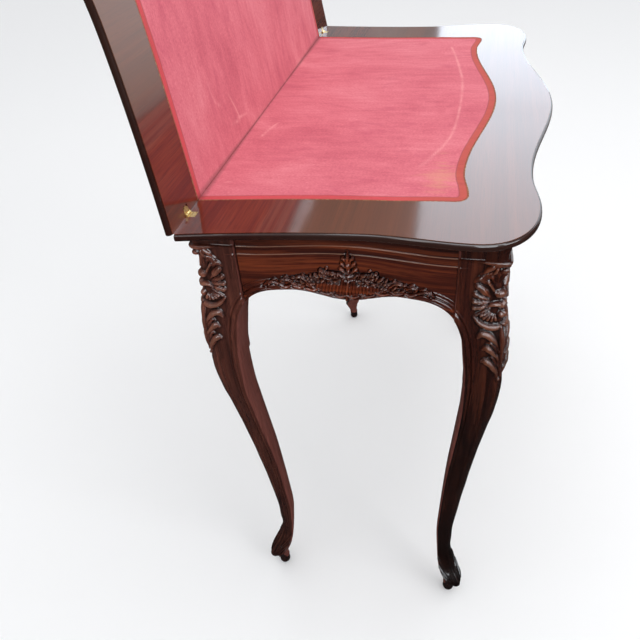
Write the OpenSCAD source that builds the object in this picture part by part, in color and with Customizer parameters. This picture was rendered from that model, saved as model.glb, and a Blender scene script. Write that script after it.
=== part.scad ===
// Console game table: a folding serpentine top lined with baize, on four cabriole legs.
// The back legs ride on a sliding frame that is drawn out to carry the opened leaf.
// X runs along the table, the front faces -Y, Z is up, and the floor is z = 0.
// Pieces are drawn with the fold of the top on y = 0 and then moved by fold_y.

/* [Top] */
// Height of the playing surface above the floor
table_h = 760; // [720:5:790]
// Length of the top along its fold
top_len = 848; // [800:2:900]
// How far each end of the top is drawn in at its hollow
hollow_in = 21.5; // [14:0.5:26]
// How far each front corner of the top stands in from the end of the fold
corner_in = 12.5; // [0:0.5:18]
// Depth of the top at the middle of its bowed front
bow_depth = 433; // [415:1:460]
// How far the two waists of the front stand behind the middle of its bow
waist_back = 35.5; // [29:0.5:41]
// How far the ears stand in front of the waists
ear_out = 7; // [2:0.5:12]
// Distance of the hollow of each end from the fold
hollow_y = 220; // [180:5:260]
// Distance behind the ears at which each front corner starts to turn
corner_back = 70.5; // [56:0.5:84]
// Distance of each ear from the end of the fold
ear_in = 104; // [90:1:120]
// Distance of each waist from the end of the fold
waist_in = 174; // [150:1:200]
// Thickness of the fixed leaf
leaf_t = 11; // [10.5:0.5:16]
// How far the moulded edge draws in at the playing surface
edge_over = 3; // [1:0.5:4]
// How far the moulded edge draws in at the underside
edge_under = 7; // [3:0.5:8]

/* [Baize] */
// Wood left at each end of the baize, at the fold
end_band = 81; // [64:1:100]
// Wood left at each end of the baize, at the hollow
hollow_band = 76.5; // [60:0.5:90]
// Wood left at each end of the baize, at the front corners
corner_band = 89.5; // [74:0.5:104]
// Wood left in front of the baize
front_band = 81; // [60:1:95]
// Radius of the front corners of the baize
baize_corner_r = 17; // [8:1:24]
// Thickness of the baize
baize_t = 0.5; // [0.4:0.1:0.8]
// Depth by which the baize lies below the wood
baize_sink = 0.1; // [0.1:0.1:0.3]

/* [Lid] */
// Angle of the folding leaf from closed
lid_open = 97.5; // [92:0.5:115]
// Gap between the two closed leaves
fold_gap = 0.5; // [0.4:0.1:1]
// Thickness by which the folding leaf is planed thinner, to clear the frame below
lid_thinner = 0.3; // [0.2:0.1:1]
// Gap between the two leaves along the fold
edge_gap = 0.3; // [0.2:0.1:1]

/* [Hinges] */
// Distance of each hinge from the end of the fold
hinge_in = 48; // [36:1:62]
// Length of each hinge along the fold
hinge_len = 12; // [9:0.5:16]
// Depth of each hinge plate into the leaf
plate_d = 11; // [8:0.5:14]
// Thickness of each hinge plate
plate_t = 1.5; // [1.2:0.1:2]
// Radius of the hinge knuckles
knuckle_r = 2.2; // [1.9:0.1:2.6]
// Radius of the hinge pins
pin_r = 1.1; // [0.9:0.05:1.3]
// Radial clearance of the folding knuckle on its pin
pin_clear = 0.05; // [0.02:0.01:0.1]
// Clearance around a knuckle in the wood and between knuckles
knuckle_clear = 0.3; // [0.2:0.05:0.5]

/* [Legs] */
// Width of the square block at the head of each leg
block_w = 55; // [50:1:60]
// How far the ends of the fold overhang the blocks
end_overhang = 27.5; // [25.5:0.5:30]
// Distance of the back blocks from the fold, to the centre of the block
back_leg_y = 31; // [29:1:36]
// How far the ears of the top overhang the front blocks
front_overhang = 31.5; // [28:0.5:38]
// Radius of the outer corner of the blocks
block_r = 22; // [14:1:26]
// How far the feet stand farther out than the blocks, toward the ends
splay = 10; // [4:1:12]
// Width across the knee
knee_w = 49.4; // [46:0.2:54]
// How far the knee swells outward from under the block
knee_out = 12.2; // [8:0.2:14]
// Width across the ankle
ankle_w = 26.4; // [24:0.2:32]
// How far the ankle draws inward from under the block
ankle_in = 17.6; // [12:0.2:20]
// Width across the scrolled foot
foot_w = 35; // [32:0.5:42]
// Radius of the turned pad under each foot
pad_r = 9.5; // [8:0.5:12]
// Height of the turned pad under each foot
pad_h = 20; // [14:1:22]
// Radius of the peg that fixes a pad in its foot
peg_r = 4; // [3:0.5:5]
// Length of the peg that fixes a pad in its foot
peg_len = 14; // [10:1:18]
// Height of the projecting moulding round the head of each leg
cap_h = 9; // [6:1:12]
// Projection of the moulding round the head of each leg
cap_out = 2.5; // [1.5:0.5:4]
// Distance of that moulding below the top
cap_drop = 18; // [14:1:26]

/* [Aprons] */
// Thickness of the back apron
apron_t = 20; // [18:1:24]
// Thickness of the side aprons at their ends
side_apron_t = 28; // [26:1:32]
// Depth by which the face of each side apron is hollowed, in plan
side_hollow = 12.5; // [6:0.5:14]
// Depth of the aprons at the top of their arches
arch_d = 81; // [79:1:84]
// Depth of the aprons at the middle drop
drop_d = 96; // [86:1:104]
// Half width of the middle drop of the side aprons
side_drop_w = 70; // [60:1:74]
// Half width of the middle drop of the front and back aprons
long_drop_w = 170; // [120:5:220]
// Width of the curve that leads each apron into the legs
knee_curve_w = 72; // [66:1:74]
// Height of the curve that leads each apron into the legs
knee_curve_h = 120; // [100:1:126]
// Distance from the side of a block to the side of the knee below it
knee_set = 16; // [14:0.5:17]
// Distance of the front apron behind the edge of the top
front_set = 33; // [30:1:36]
// Distance of the face of the side aprons behind the face of the blocks
side_set = 2; // [1:0.5:3]
// Distance of the flat back of the front apron inward of the centre of the front blocks
apron_back_in = 7.5; // [0:0.5:12]
// Outward offset of the tenons of the front and back aprons from the centre of the blocks
tenon_off = 6; // [4:0.5:8]
// Thickness of the apron tenons
tenon_t = 10; // [8:1:12]
// Length of the apron tenons
tenon_len = 20; // [14:1:20]
// Height of the apron tenons
tenon_h = 66; // [50:1:70]
// Distance of the tenons below the top
tenon_drop = 12; // [8:1:14]
// Thickness of the carved shell on each apron
shell_t = 6; // [4:0.5:8]
// Half width of the carved shell on each apron
shell_w = 42; // [32:1:46]
// Height of the carved shell on each apron
shell_h = 66; // [50:1:70]

/* [Sliding frame] */
// Gap between the side aprons and the sliding back legs
slide_gap = 2; // [1:0.5:3]
// Clearance of the sliding frame under the fixed leaf
top_clear = 0.3; // [0.3:0.1:1]
// Thickness of the fixed rail behind the side aprons
rail_t = 20; // [16:1:24]
// Depth of the fixed rail
rail_d = 80; // [74:1:90]
// Width of the bearers
bearer_w = 24; // [20:1:26]
// Depth of the bearers
bearer_d = 45; // [36:1:48]
// Distance of the bearers below the top
bearer_drop = 22; // [22:1:26]
// Gap between the front end of the bearers and the front apron
bearer_short = 8; // [6:1:16]
// Height of the guides
guide_h = 40; // [32:1:44]
// Projection of the tongue of each guide
tongue_w = 9; // [7:0.5:11]
// Height of the tongue of each guide
tongue_h = 12; // [9:0.5:14]
// Running clearance between bearers and guides
run_clear = 0.5; // [0.3:0.1:0.8]
// Thickness of the bar that ties the bearers
tie_t = 16; // [12:1:20]
// Depth of the bar that ties the bearers
tie_d = 25; // [18:1:30]
// Gap left between the tying bar and the fixed rail when drawn out
stop_gap = 1.5; // [1:0.5:3]

/* [Blocks and screws] */
// Section of the blocks that hold the fixed leaf
glue_w = 20; // [18:1:20]
// Length of the blocks that hold the fixed leaf
glue_len = 60; // [40:1:80]
// Distance of the front and back blocks from the middle
glue_x = 180; // [120:5:240]
// Radius of the top screws
screw_r = 2; // [1.5:0.25:2.5]
// Radius of the heads of the top screws
screw_head_r = 4; // [3.5:0.25:5]
// Depth of the top screws in the fixed leaf
screw_bite = 6; // [5:0.5:7.5]
// Radius of the hinge screws
hinge_screw_r = 0.9; // [0.8:0.1:1.1]
// Length of the hinge screws
hinge_screw_len = 7; // [5:0.5:9]

/* [Hidden] */

WOOD = "saddlebrown";
DARK_WOOD = "sienna";
BAIZE = "palevioletred";
BRASS = "gold";
STEEL = "gray";

// A cut runs past the face that it opens by this much.
PAST = 1;
ROUND_FN = 48;

under_z = table_h - leaf_t;
lid_t = leaf_t - lid_thinner;
axis_z = table_h + fold_gap / 2;
half_block = block_w / 2;
waist_depth = bow_depth - waist_back;
ear_depth = waist_depth + ear_out;
corner_y = ear_depth - corner_back;
front_leg_y = ear_depth - front_overhang - half_block;
leg_x = top_len / 2 - end_overhang - half_block;
hinge_x = top_len / 2 - hinge_in;
ear_x = top_len / 2 - ear_in;
waist_x = top_len / 2 - waist_in;
hollow_len = top_len - 2 * hollow_in;
corner_len = top_len - 2 * corner_in;
baize_len = top_len - 2 * end_band;

// Heights and places of the aprons.
arch_z = under_z - arch_d;
drop_z = under_z - drop_d;
side_mid_y = -(front_leg_y + back_leg_y) / 2;
side_half = (front_leg_y - back_leg_y) / 2 - half_block;
long_half = leg_x - half_block;
side_out_x = leg_x + half_block - side_set;
side_in_x = side_out_x - side_apron_t;
side_tenon_off = (side_out_x + side_in_x) / 2 - leg_x;
side_back_y = -(back_leg_y + half_block + slide_gap);
front_in_y = -(front_leg_y - apron_back_in);
bearer_end = -front_in_y - bearer_short;
back_out_y = -(back_leg_y - tenon_off - apron_t / 2);
back_in_y = back_out_y - apron_t;

// Places of the sliding frame. Its pieces stop top_clear below the fixed leaf.
frame_top_z = under_z - top_clear;
rail_front_y = side_back_y - rail_t;
guide_in_x = long_half;
guide_t = side_in_x - guide_in_x;
bearer_out_x = guide_in_x - run_clear;
bearer_in_x = bearer_out_x - bearer_w;
bearer_top_z = under_z - bearer_drop;
tongue_mid_z = bearer_top_z - bearer_d / 2;
tie_back_y = -bearer_end + tie_t;
slide_travel = rail_front_y - tie_back_y - stop_gap;

// Steps along the outline: end to the hollow, hollow to corner, corner, ear, bow.
END_STEPS = 8;
FLARE_STEPS = 6;
CORNER_STEPS = 8;
EAR_STEPS = 5;
BOW_STEPS = 12;
// Levels of each half of the moulded edge.
EDGE_LEVELS = 3;
// Exponent of the taper of each end near the fold.
END_POWER = 1.5;
// Exponent that fills out the rounded front corners past an ellipse.
CORNER_POWER = 0.9;

// Easing from 0 to 1 with level ends.
function ease(s) = (1 - cos(180 * s)) / 2;

// Depth of the bowed front at a distance x from the middle, as far as the ears.
function front_depth(x, bow, ear, waist, e_x, w_x) =
    x < w_x ? bow - (bow - waist) * ease(x / w_x)
            : waist + (ear - waist) * ease((x - w_x) / (e_x - w_x));

// Right half of a serpentine outline, from the fold round to the middle of the front.
function half_outline(fold_l, hollow_l, corner_l, bow, ear, waist, e_x, w_x, c_y) =
    concat(
        [for (i = [0 : END_STEPS - 1])
            let (t = i / END_STEPS)
            [hollow_l / 2 + (fold_l - hollow_l) / 2 * pow(1 - t, END_POWER), -hollow_y * t]],
        [for (i = [0 : FLARE_STEPS - 1])
            let (s = i / FLARE_STEPS)
            [hollow_l / 2 + (corner_l - hollow_l) / 2 * ease(s), -hollow_y - (c_y - hollow_y) * s]],
        [for (i = [0 : CORNER_STEPS - 1])
            let (a = 90 * i / CORNER_STEPS)
            [e_x + (corner_l / 2 - e_x) * pow(cos(a), CORNER_POWER),
             -c_y - (ear - c_y) * pow(sin(a), CORNER_POWER)]],
        [for (i = [0 : EAR_STEPS - 1])
            let (x = e_x - (e_x - w_x) * i / EAR_STEPS)
            [x, -front_depth(x, bow, ear, waist, e_x, w_x)]],
        [for (i = [0 : BOW_STEPS])
            let (x = w_x * (1 - i / BOW_STEPS))
            [x, -front_depth(x, bow, ear, waist, e_x, w_x)]]
    );

// Both halves, from the right end of the fold round the front to the left end.
function whole_outline(half) =
    let (n = len(half))
    concat(half, [for (i = [n - 2 : -1 : 0]) [-half[i][0], half[i][1]]]);

// Direction from point i into the outline. At the fold it lies along the fold.
function inward(pts, i) =
    let (
        n = len(pts),
        d = pts[min(i + 1, n - 1)] - pts[max(i - 1, 0)]
    )
    i == 0 ? [-1, 0] : i == n - 1 ? [1, 0] : [d[1], -d[0]] / norm(d);

function drawn_in(pts, amount) = [for (i = [0 : len(pts) - 1]) pts[i] + inward(pts, i) * amount];

// Moulded edge as [share of the thickness, amount drawn in], from underside to top.
function edge_levels(n) = concat(
    [for (k = [0 : n - 1])
        let (u = 1 - k / n)
        [(1 - u) / 2, edge_under * (1 - sqrt(1 - u * u))]],
    [for (k = [0 : n])
        let (u = k / n)
        [(1 + u) / 2, edge_over * (1 - sqrt(1 - u * u))]]
);

// A solid through rings of points that run clockwise seen from above, lowest ring first.
module ring_solid(rings) {
    count = len(rings[0]);
    levels = len(rings);
    sides = [for (k = [0 : levels - 2]) for (i = [0 : count - 1])
        let (j = (i + 1) % count)
        each [
            [k * count + i, (k + 1) * count + i, (k + 1) * count + j],
            [k * count + i, (k + 1) * count + j, k * count + j]
        ]];
    bottom = [[for (i = [count - 1 : -1 : 0]) i]];
    top = [[for (i = [0 : count - 1]) (levels - 1) * count + i]];
    polyhedron(points = [for (r = rings) each r], faces = concat(bottom, sides, top));
}

top_half = half_outline(top_len, hollow_len, corner_len, bow_depth, ear_depth, waist_depth,
    ear_x, waist_x, corner_y);

// Playing surface down: the body of a leaf of thickness t, with its moulded edge.
module leaf_body(t) {
    pts = [for (p = whole_outline(top_half)) [p[0], p[1] - edge_gap / 2]];
    ring_solid([for (lv = edge_levels(EDGE_LEVELS))
        [for (q = drawn_in(pts, lv[1])) [q[0], q[1], -t + lv[0] * t]]]);
}

baize_corner_len = corner_len - 2 * corner_band;
baize_half = half_outline(baize_len, hollow_len - 2 * hollow_band, baize_corner_len,
    bow_depth - front_band, ear_depth - front_band, waist_depth - front_band,
    baize_corner_len / 2 - baize_corner_r, waist_x, ear_depth - front_band - baize_corner_r);

module baize_shape() {
    polygon([for (p = whole_outline(baize_half)) [p[0], p[1] - edge_gap / 2]]);
}

// What the hinges take out of one leaf: two plate beds and the room for the knuckles.
module hinge_beds() {
    for (s = [-1, 1]) {
        translate([s * hinge_x - hinge_len / 2, -plate_d, -plate_t])
            cube([hinge_len, plate_d + PAST, plate_t + PAST]);
        translate([s * hinge_x - hinge_len / 2 - knuckle_clear, 0, fold_gap / 2])
            rotate([0, 90, 0])
            cylinder(r = knuckle_r + knuckle_clear, h = hinge_len + 2 * knuckle_clear, $fn = ROUND_FN);
    }
}

// Share of a hinge plate's depth at which its screw stands.
SCREW_SHARE = 0.6;
plate_screw_y = plate_d * SCREW_SHARE;

module hinge_screw_holes() {
    for (s = [-1, 1])
        translate([s * hinge_x, -plate_screw_y, -hinge_screw_len])
            cylinder(r = hinge_screw_r, h = hinge_screw_len, $fn = ROUND_FN);
}

// A leaf with its playing surface on z = 0, cut for the baize and the hinges.
module cut_leaf(t) {
    difference() {
        leaf_body(t);
        translate([0, 0, -baize_t - baize_sink])
            linear_extrude(baize_t + baize_sink + PAST) baize_shape_past();
        hinge_beds();
        hinge_screw_holes();
    }
}

// The bed of the baize runs past the fold edge of the leaf.
module baize_shape_past() {
    baize_shape();
    translate([-baize_len / 2, -edge_gap])
        square([baize_len, edge_gap + PAST]);
}

module in_place() {
    translate([0, fold_y, 0]) children();
}

// Playing surface of the folding leaf: drawn as the fixed one, turned over, then opened.
module on_lid() {
    in_place()
        translate([0, 0, axis_z])
        rotate([-lid_open, 0, 0])
        translate([0, 0, fold_gap / 2])
        mirror([0, 0, 1])
        children();
}

// Farthest point of the opened leaf behind the fold.
lid_back_y = max([for (lv = edge_levels(EDGE_LEVELS))
    (bow_depth + edge_gap / 2 - lv[1]) * -cos(lid_open)
    + (fold_gap / 2 + lid_t * (1 - lv[0])) * sin(lid_open)]);
fold_y = (bow_depth + edge_gap / 2 - lid_back_y) / 2;

module top_leaf() {
    color(WOOD) in_place() difference() {
        translate([0, 0, table_h]) cut_leaf(leaf_t);
        for (p = glue_places())
            translate([p[0], p[1], under_z - PAST])
                cylinder(r = screw_r, h = screw_bite + PAST, $fn = ROUND_FN);
    }
}

module lid_leaf() {
    color(WOOD) on_lid() cut_leaf(lid_t);
}

module baize_sheet() {
    translate([0, 0, -baize_t - baize_sink]) linear_extrude(baize_t) baize_shape();
}

module top_baize() {
    color(BAIZE) in_place() translate([0, 0, table_h]) baize_sheet();
}

module lid_baize() {
    color(BAIZE) on_lid() baize_sheet();
}

// Hinges. The outer two thirds of each barrel belong to the fixed leaf.
third = hinge_len / 3;

module barrel(s, from, length, r) {
    translate([s * hinge_x - hinge_len / 2 + from, 0, fold_gap / 2])
        rotate([0, 90, 0])
        cylinder(r = r, h = length, $fn = ROUND_FN);
}

module countersink() {
    translate([0, 0, -plate_t])
        cylinder(r1 = hinge_screw_r, r2 = hinge_screw_r + plate_t, h = plate_t, $fn = ROUND_FN);
}

module fixed_plate(s) {
    difference() {
        union() {
            translate([s * hinge_x - hinge_len / 2, -plate_d, -plate_t])
                cube([hinge_len, plate_d, plate_t]);
            for (from = [0, 2 * third]) barrel(s, from, third, knuckle_r);
        }
        barrel(s, third - knuckle_clear, third + 2 * knuckle_clear, knuckle_r + knuckle_clear);
        barrel(s, -PAST, hinge_len + 2 * PAST, pin_r);
        translate([s * hinge_x, -plate_screw_y, 0]) countersink();
    }
}

// The folding plate ends in a pointed arch, with its shoulders at these shares of its depth.
ARCH_LOW = 0.55;
ARCH_HIGH = 0.85;

module folding_plate(s) {
    difference() {
        union() {
            translate([s * hinge_x, 0, -plate_t]) linear_extrude(plate_t)
                polygon([[-hinge_len / 2, 0], [-hinge_len / 2, -plate_d * ARCH_LOW],
                    [-hinge_len / 4, -plate_d * ARCH_HIGH], [0, -plate_d],
                    [hinge_len / 4, -plate_d * ARCH_HIGH], [hinge_len / 2, -plate_d * ARCH_LOW],
                    [hinge_len / 2, 0]]);
            barrel(s, third, third, knuckle_r);
        }
        for (from = [-PAST, 2 * third - knuckle_clear])
            barrel(s, from, third + knuckle_clear + PAST, knuckle_r + knuckle_clear);
        barrel(s, -PAST, hinge_len + 2 * PAST, pin_r + pin_clear);
        translate([s * hinge_x, -plate_screw_y, 0]) countersink();
    }
}

module hinge_plates_top() {
    color(BRASS) in_place() translate([0, 0, table_h]) for (s = [-1, 1]) fixed_plate(s);
}

module hinge_plates_lid() {
    color(BRASS) on_lid() for (s = [-1, 1]) folding_plate(s);
}

module hinge_pins() {
    color(BRASS) in_place() translate([0, 0, table_h])
        for (s = [-1, 1]) barrel(s, 0, hinge_len, pin_r);
}

module hinge_screws() {
    for (s = [-1, 1]) translate([s * hinge_x, -plate_screw_y, 0]) {
        countersink();
        translate([0, 0, -hinge_screw_len])
            cylinder(r = hinge_screw_r, h = hinge_screw_len - plate_t, $fn = ROUND_FN);
    }
}

module hinge_screws_top() {
    color(BRASS) in_place() translate([0, 0, table_h]) hinge_screws();
}

module hinge_screws_lid() {
    color(BRASS) on_lid() hinge_screws();
}

// Fall of the curve that leads into a leg, at a share s of its width.
KNEE_POWER = 3;
function knee_fall(s) = knee_curve_h * (1 - pow(1 - pow(s, KNEE_POWER), 1 / KNEE_POWER));

// Lower edge of an apron at a distance from its middle. Past lead_in it curves to the leg.
function low_edge(off, half, drop_w) =
    let (
        lead_in = half + knee_set - knee_curve_w,
        s = (off - lead_in) / knee_curve_w
    )
    off < drop_w ? drop_z + (arch_z - drop_z) * ease(off / drop_w)
    : s <= 0 ? arch_z
    : arch_z - knee_fall(s);

EDGE_STEPS = 48;

// Elevation of an apron, half long each way, drawn about its middle.
module apron_elevation(half, drop_w, top_z) {
    polygon(concat(
        [[half, top_z], [-half, top_z]],
        [for (i = [0 : EDGE_STEPS])
            let (off = -half + 2 * half * i / EDGE_STEPS)
            [off, low_edge(abs(off), half, drop_w)]]
    ));
}

// Shares of the shell's height at its sides, and of its width along its foot.
SHELL_SIDE = 0.35;
SHELL_TIP = 0.18;
SHELL_FOOT = 0.6;
// Heights of the foot of the shell above the apron's edge, aside and in the middle.
foot_side = 2;
foot_mid = 1;

// Carved shell, drawn flat: a fan with a pointed crest, its foot on the apron's edge.
module shell_outline() {
    polygon(concat(
        [[shell_w, shell_h * SHELL_TIP]],
        [for (a = [15 : 15 : 165])
            [shell_w * cos(a), shell_h * (SHELL_SIDE + (1 - SHELL_SIDE) * pow(sin(a), 2))]],
        [[-shell_w, shell_h * SHELL_TIP]],
        [[-shell_w * SHELL_FOOT, foot_side], [0, foot_mid], [shell_w * SHELL_FOOT, foot_side]]
    ));
}

// Tenon that runs along +X from a shoulder at x = 0, its root sunk in the shoulder.
module tenon() {
    translate([-PAST, -tenon_t / 2, under_z - tenon_drop - tenon_h])
        cube([tenon_len + PAST, tenon_t, tenon_h]);
}

PLAN_STEPS = 40;

// Face of a side apron at a share from -1 to 1 of its half length: hollow in the middle.
function side_face(s) = side_out_x - side_hollow * ease(1 - abs(s));

module side_apron(s) {
    front_y = side_mid_y - side_half;
    back_y = side_back_y;
    in_place() mirror([s < 0 ? 1 : 0, 0, 0]) {
        intersection() {
            translate([0, side_mid_y, 0]) rotate([90, 0, 90])
                linear_extrude(top_len / 2) apron_elevation(side_half, side_drop_w, under_z);
            linear_extrude(table_h) polygon(concat(
                [[side_in_x, back_y], [side_in_x, front_y]],
                [for (i = [0 : PLAN_STEPS])
                    let (t = i / PLAN_STEPS, y = front_y + (back_y - front_y) * t)
                    [side_face((y - side_mid_y) / side_half), y]]
            ));
        }
        translate([side_face(0) - shell_t, side_mid_y, drop_z]) rotate([90, 0, 90])
            linear_extrude(2 * shell_t) shell_outline();
        translate([leg_x + side_tenon_off, front_y, 0]) rotate([0, 0, -90]) tenon();
    }
}

module left_apron() {
    color(DARK_WOOD) side_apron(-1);
}

module right_apron() {
    color(DARK_WOOD) side_apron(1);
}

// Depth of the face of the front apron, level with the ear past the ear.
function apron_face(x) =
    front_depth(min(abs(x), ear_x), bow_depth, ear_depth, waist_depth, ear_x, waist_x) - front_set;

module front_apron() {
    tenon_y = -(front_leg_y + tenon_off);
    color(DARK_WOOD) in_place() {
        intersection() {
            linear_extrude(table_h) polygon(concat(
                [[long_half, front_in_y], [-long_half, front_in_y]],
                [for (i = [0 : PLAN_STEPS])
                    let (x = -long_half + 2 * long_half * i / PLAN_STEPS)
                    [x, -apron_face(x)]]
            ));
            rotate([90, 0, 0]) linear_extrude(bow_depth) apron_elevation(long_half, long_drop_w, under_z);
        }
        translate([0, -apron_face(0) + shell_t, drop_z]) rotate([90, 0, 0])
            linear_extrude(2 * shell_t) shell_outline();
        for (s = [0, 1]) mirror([s, 0, 0]) translate([long_half, tenon_y, 0]) tenon();
    }
}

module back_apron() {
    tenon_y = -(back_leg_y - tenon_off);
    color(DARK_WOOD) in_place() {
        translate([0, back_out_y, 0]) rotate([90, 0, 0])
            linear_extrude(apron_t) apron_elevation(long_half, long_drop_w, frame_top_z);
        for (s = [0, 1]) mirror([s, 0, 0]) translate([long_half, tenon_y, 0]) tenon();
    }
}

// Share of the ankle's inward curve by which each pad stands inward.
PAD_SHARE = 0.14;
pad_in = PAD_SHARE * ankle_in;

// Stations of a cabriole leg: share of the height to the top, outward offset from the
// centre of the block, half width, squareness of the section, and its width across the
// outward corner against its depth.
foot_h = pad_h / under_z;
stations = [
    [foot_h, -pad_in, 0.28 * foot_w, 2.2, 1],
    [0.036, 0.04 * ankle_in, 0.31 * foot_w, 2.3, 0.95],
    [0.042, 0.13 * ankle_in, 0.395 * foot_w, 2.5, 0.86],
    [0.056, 0.17 * ankle_in, 0.43 * foot_w, 2.6, 0.86],
    [0.072, -0.07 * ankle_in, 0.455 * foot_w, 2.6, 1.05],
    [0.092, -0.46 * ankle_in, 0.395 * foot_w, 2.5, 1.35],
    [0.120, -0.78 * ankle_in, 0.325 * foot_w, 2.4, 1.5],
    [0.150, -0.93 * ankle_in, 0.42 * ankle_w, 2.3, 1.3],
    [0.180, -0.96 * ankle_in, 0.47 * ankle_w, 2.3, 1.1],
    [0.225, -ankle_in, 0.5 * ankle_w, 2.3, 1],
    [0.302, -0.82 * ankle_in, 0.55 * ankle_w, 2.3, 1],
    [0.361, -0.66 * ankle_in, 0.585 * ankle_w, 2.4, 1],
    [0.451, -0.34 * ankle_in, 0.36 * knee_w, 2.5, 1],
    [0.513, -0.03 * ankle_in, 0.405 * knee_w, 2.6, 1],
    [0.602, 0.57 * knee_out, 0.46 * knee_w, 2.7, 1],
    [0.660, 0.91 * knee_out, 0.49 * knee_w, 2.9, 1],
    [0.744, knee_out, 0.5 * knee_w, 3, 1],
    [0.800, 0.85 * knee_out, 0.51 * knee_w, 3, 1],
    [0.857, 0.45 * knee_out, 0.51 * knee_w, 3, 1],
    [0.930, 0, 0.93 * half_block, 3, 1]
];
SECTION_FN = 24;
STATION_STEPS = 2;

// Smooth curve through four values, at t from b to c.
function through(a, b, c, d, t) =
    0.5 * (2 * b + (c - a) * t + (2 * a - 5 * b + 4 * c - d) * t * t
    + (3 * b - a - 3 * c + d) * t * t * t);

function leg_rows() =
    let (n = len(stations))
    concat(
        [for (i = [0 : n - 2]) for (k = [0 : STATION_STEPS - 1])
            through(stations[max(i - 1, 0)], stations[i], stations[i + 1],
                stations[min(i + 2, n - 1)], k / STATION_STEPS)],
        [stations[n - 1]]
    );

function signed_pow(v, p) = sign(v) * pow(abs(v), p);

// Section of a leg: a square with rounded corners, clockwise seen from above. The fan
// widens it across the outward corner and narrows it along that corner.
function leg_ring(row) = [for (i = [0 : SECTION_FN - 1])
    let (
        a = -360 * (i + 0.5) / SECTION_FN,
        u = row[2] * signed_pow(cos(a), 2 / row[3]),
        v = row[2] * signed_pow(sin(a), 2 / row[3]),
        fan = sqrt(row[4]),
        along = (u + v) / 2 / fan,
        across = (u - v) / 2 * fan
    )
    [row[1] + splay * (1 - row[0]) + along + across, row[1] + along - across, row[0] * under_z]];

// Plan of a block, its outer corner rounded toward +X and +Y.
module block_plan(out, r) {
    polygon(concat(
        [[-half_block, -half_block], [out, -half_block]],
        [for (i = [0 : CORNER_STEPS]) let (a = 90 * i / CORNER_STEPS)
            [out - r + r * cos(a), out - r + r * sin(a)]],
        [[-half_block, out]]
    ));
}

KNEE_STEPS = 8;

// Block at the head of a leg, seen from one side: it curves in to the knee below.
module block_side() {
    low = arch_z - knee_curve_h;
    first = (knee_curve_w - knee_set) / knee_curve_w;
    polygon(concat(
        [[half_block, low], [half_block, under_z], [-half_block, under_z]],
        [for (i = [0 : KNEE_STEPS])
            let (s = first + (1 - first) * i / KNEE_STEPS)
            [-half_block + (s - first) * knee_curve_w, arch_z - knee_fall(s)]]
    ));
}

// A leg about the centre of its block, its outward corner toward +X and +Y.
module leg_shape(top_z, side_tenon) {
    difference() {
        union() {
            ring_solid([for (row = leg_rows()) leg_ring(row)]);
            intersection() {
                translate([0, half_block, 0]) rotate([90, 0, 0]) linear_extrude(block_w) block_side();
                translate([-half_block, 0, 0]) rotate([90, 0, 90]) linear_extrude(block_w) block_side();
                linear_extrude(top_z) block_plan(half_block, block_r);
            }
            translate([0, 0, top_z - cap_drop - cap_h])
                linear_extrude(cap_h) block_plan(half_block + cap_out, block_r + cap_out);
        }
        translate([-half_block, tenon_off, 0]) tenon();
        if (side_tenon) translate([side_tenon_off, -half_block, 0]) rotate([0, 0, 90]) tenon();
        translate([splay - pad_in, -pad_in, 0])
            cylinder(r = peg_r, h = pad_h + peg_len, $fn = ROUND_FN);
    }
}

module front_leg(s) {
    color(DARK_WOOD) in_place() translate([s * leg_x, -front_leg_y, 0])
        mirror([s < 0 ? 1 : 0, 0, 0]) mirror([0, 1, 0]) leg_shape(under_z, true);
}

module back_leg(s) {
    color(DARK_WOOD) in_place() translate([s * leg_x, -back_leg_y, 0])
        mirror([s < 0 ? 1 : 0, 0, 0]) leg_shape(frame_top_z, false);
}

module front_leg_left() {
    front_leg(-1);
}

module front_leg_right() {
    front_leg(1);
}

module back_leg_left() {
    back_leg(-1);
}

module back_leg_right() {
    back_leg(1);
}

// Shares of the pad's radius at its base and its top, and of its height at its two arrises.
PAD_BASE = 0.75;
PAD_TOP = 0.85;
PAD_LOW = 0.2;
PAD_HIGH = 0.75;

// Turned pad with its peg, on the z axis.
module foot_pad() {
    rotate_extrude($fn = ROUND_FN) polygon([
        [0, 0], [pad_r * PAD_BASE, 0], [pad_r, pad_h * PAD_LOW], [pad_r, pad_h * PAD_HIGH],
        [pad_r * PAD_TOP, pad_h], [peg_r, pad_h], [peg_r, pad_h + peg_len], [0, pad_h + peg_len]
    ]);
}

module front_foot_pads() {
    color(DARK_WOOD) in_place() for (s = [-1, 1])
        translate([s * (leg_x + splay - pad_in), -(front_leg_y - pad_in), 0]) foot_pad();
}

module back_foot_pads() {
    color(DARK_WOOD) in_place() for (s = [-1, 1])
        translate([s * (leg_x + splay - pad_in), -(back_leg_y + pad_in), 0]) foot_pad();
}

// Fixed rail between the side aprons, with a slot for each bearer.
module inner_rail() {
    color(WOOD) in_place() difference() {
        translate([-side_in_x, rail_front_y, under_z - rail_d]) cube([2 * side_in_x, rail_t, rail_d]);
        for (s = [0, 1]) mirror([s, 0, 0])
            translate([bearer_in_x - run_clear, rail_front_y - PAST, bearer_top_z - bearer_d - run_clear])
                cube([bearer_w + 2 * run_clear, rail_t + 2 * PAST, bearer_d + 2 * run_clear]);
    }
}

// Guide fixed inside a side apron, its tongue toward the middle of the table.
module guide(s) {
    front_y = -(front_leg_y - half_block);
    length = rail_front_y - front_y;
    color(WOOD) in_place() mirror([s < 0 ? 1 : 0, 0, 0]) {
        translate([guide_in_x, front_y, tongue_mid_z - guide_h / 2]) cube([guide_t, length, guide_h]);
        translate([guide_in_x - tongue_w, front_y, tongue_mid_z - tongue_h / 2])
            cube([tongue_w + PAST, length, tongue_h]);
    }
}

module guide_left() {
    guide(-1);
}

module guide_right() {
    guide(1);
}

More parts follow.
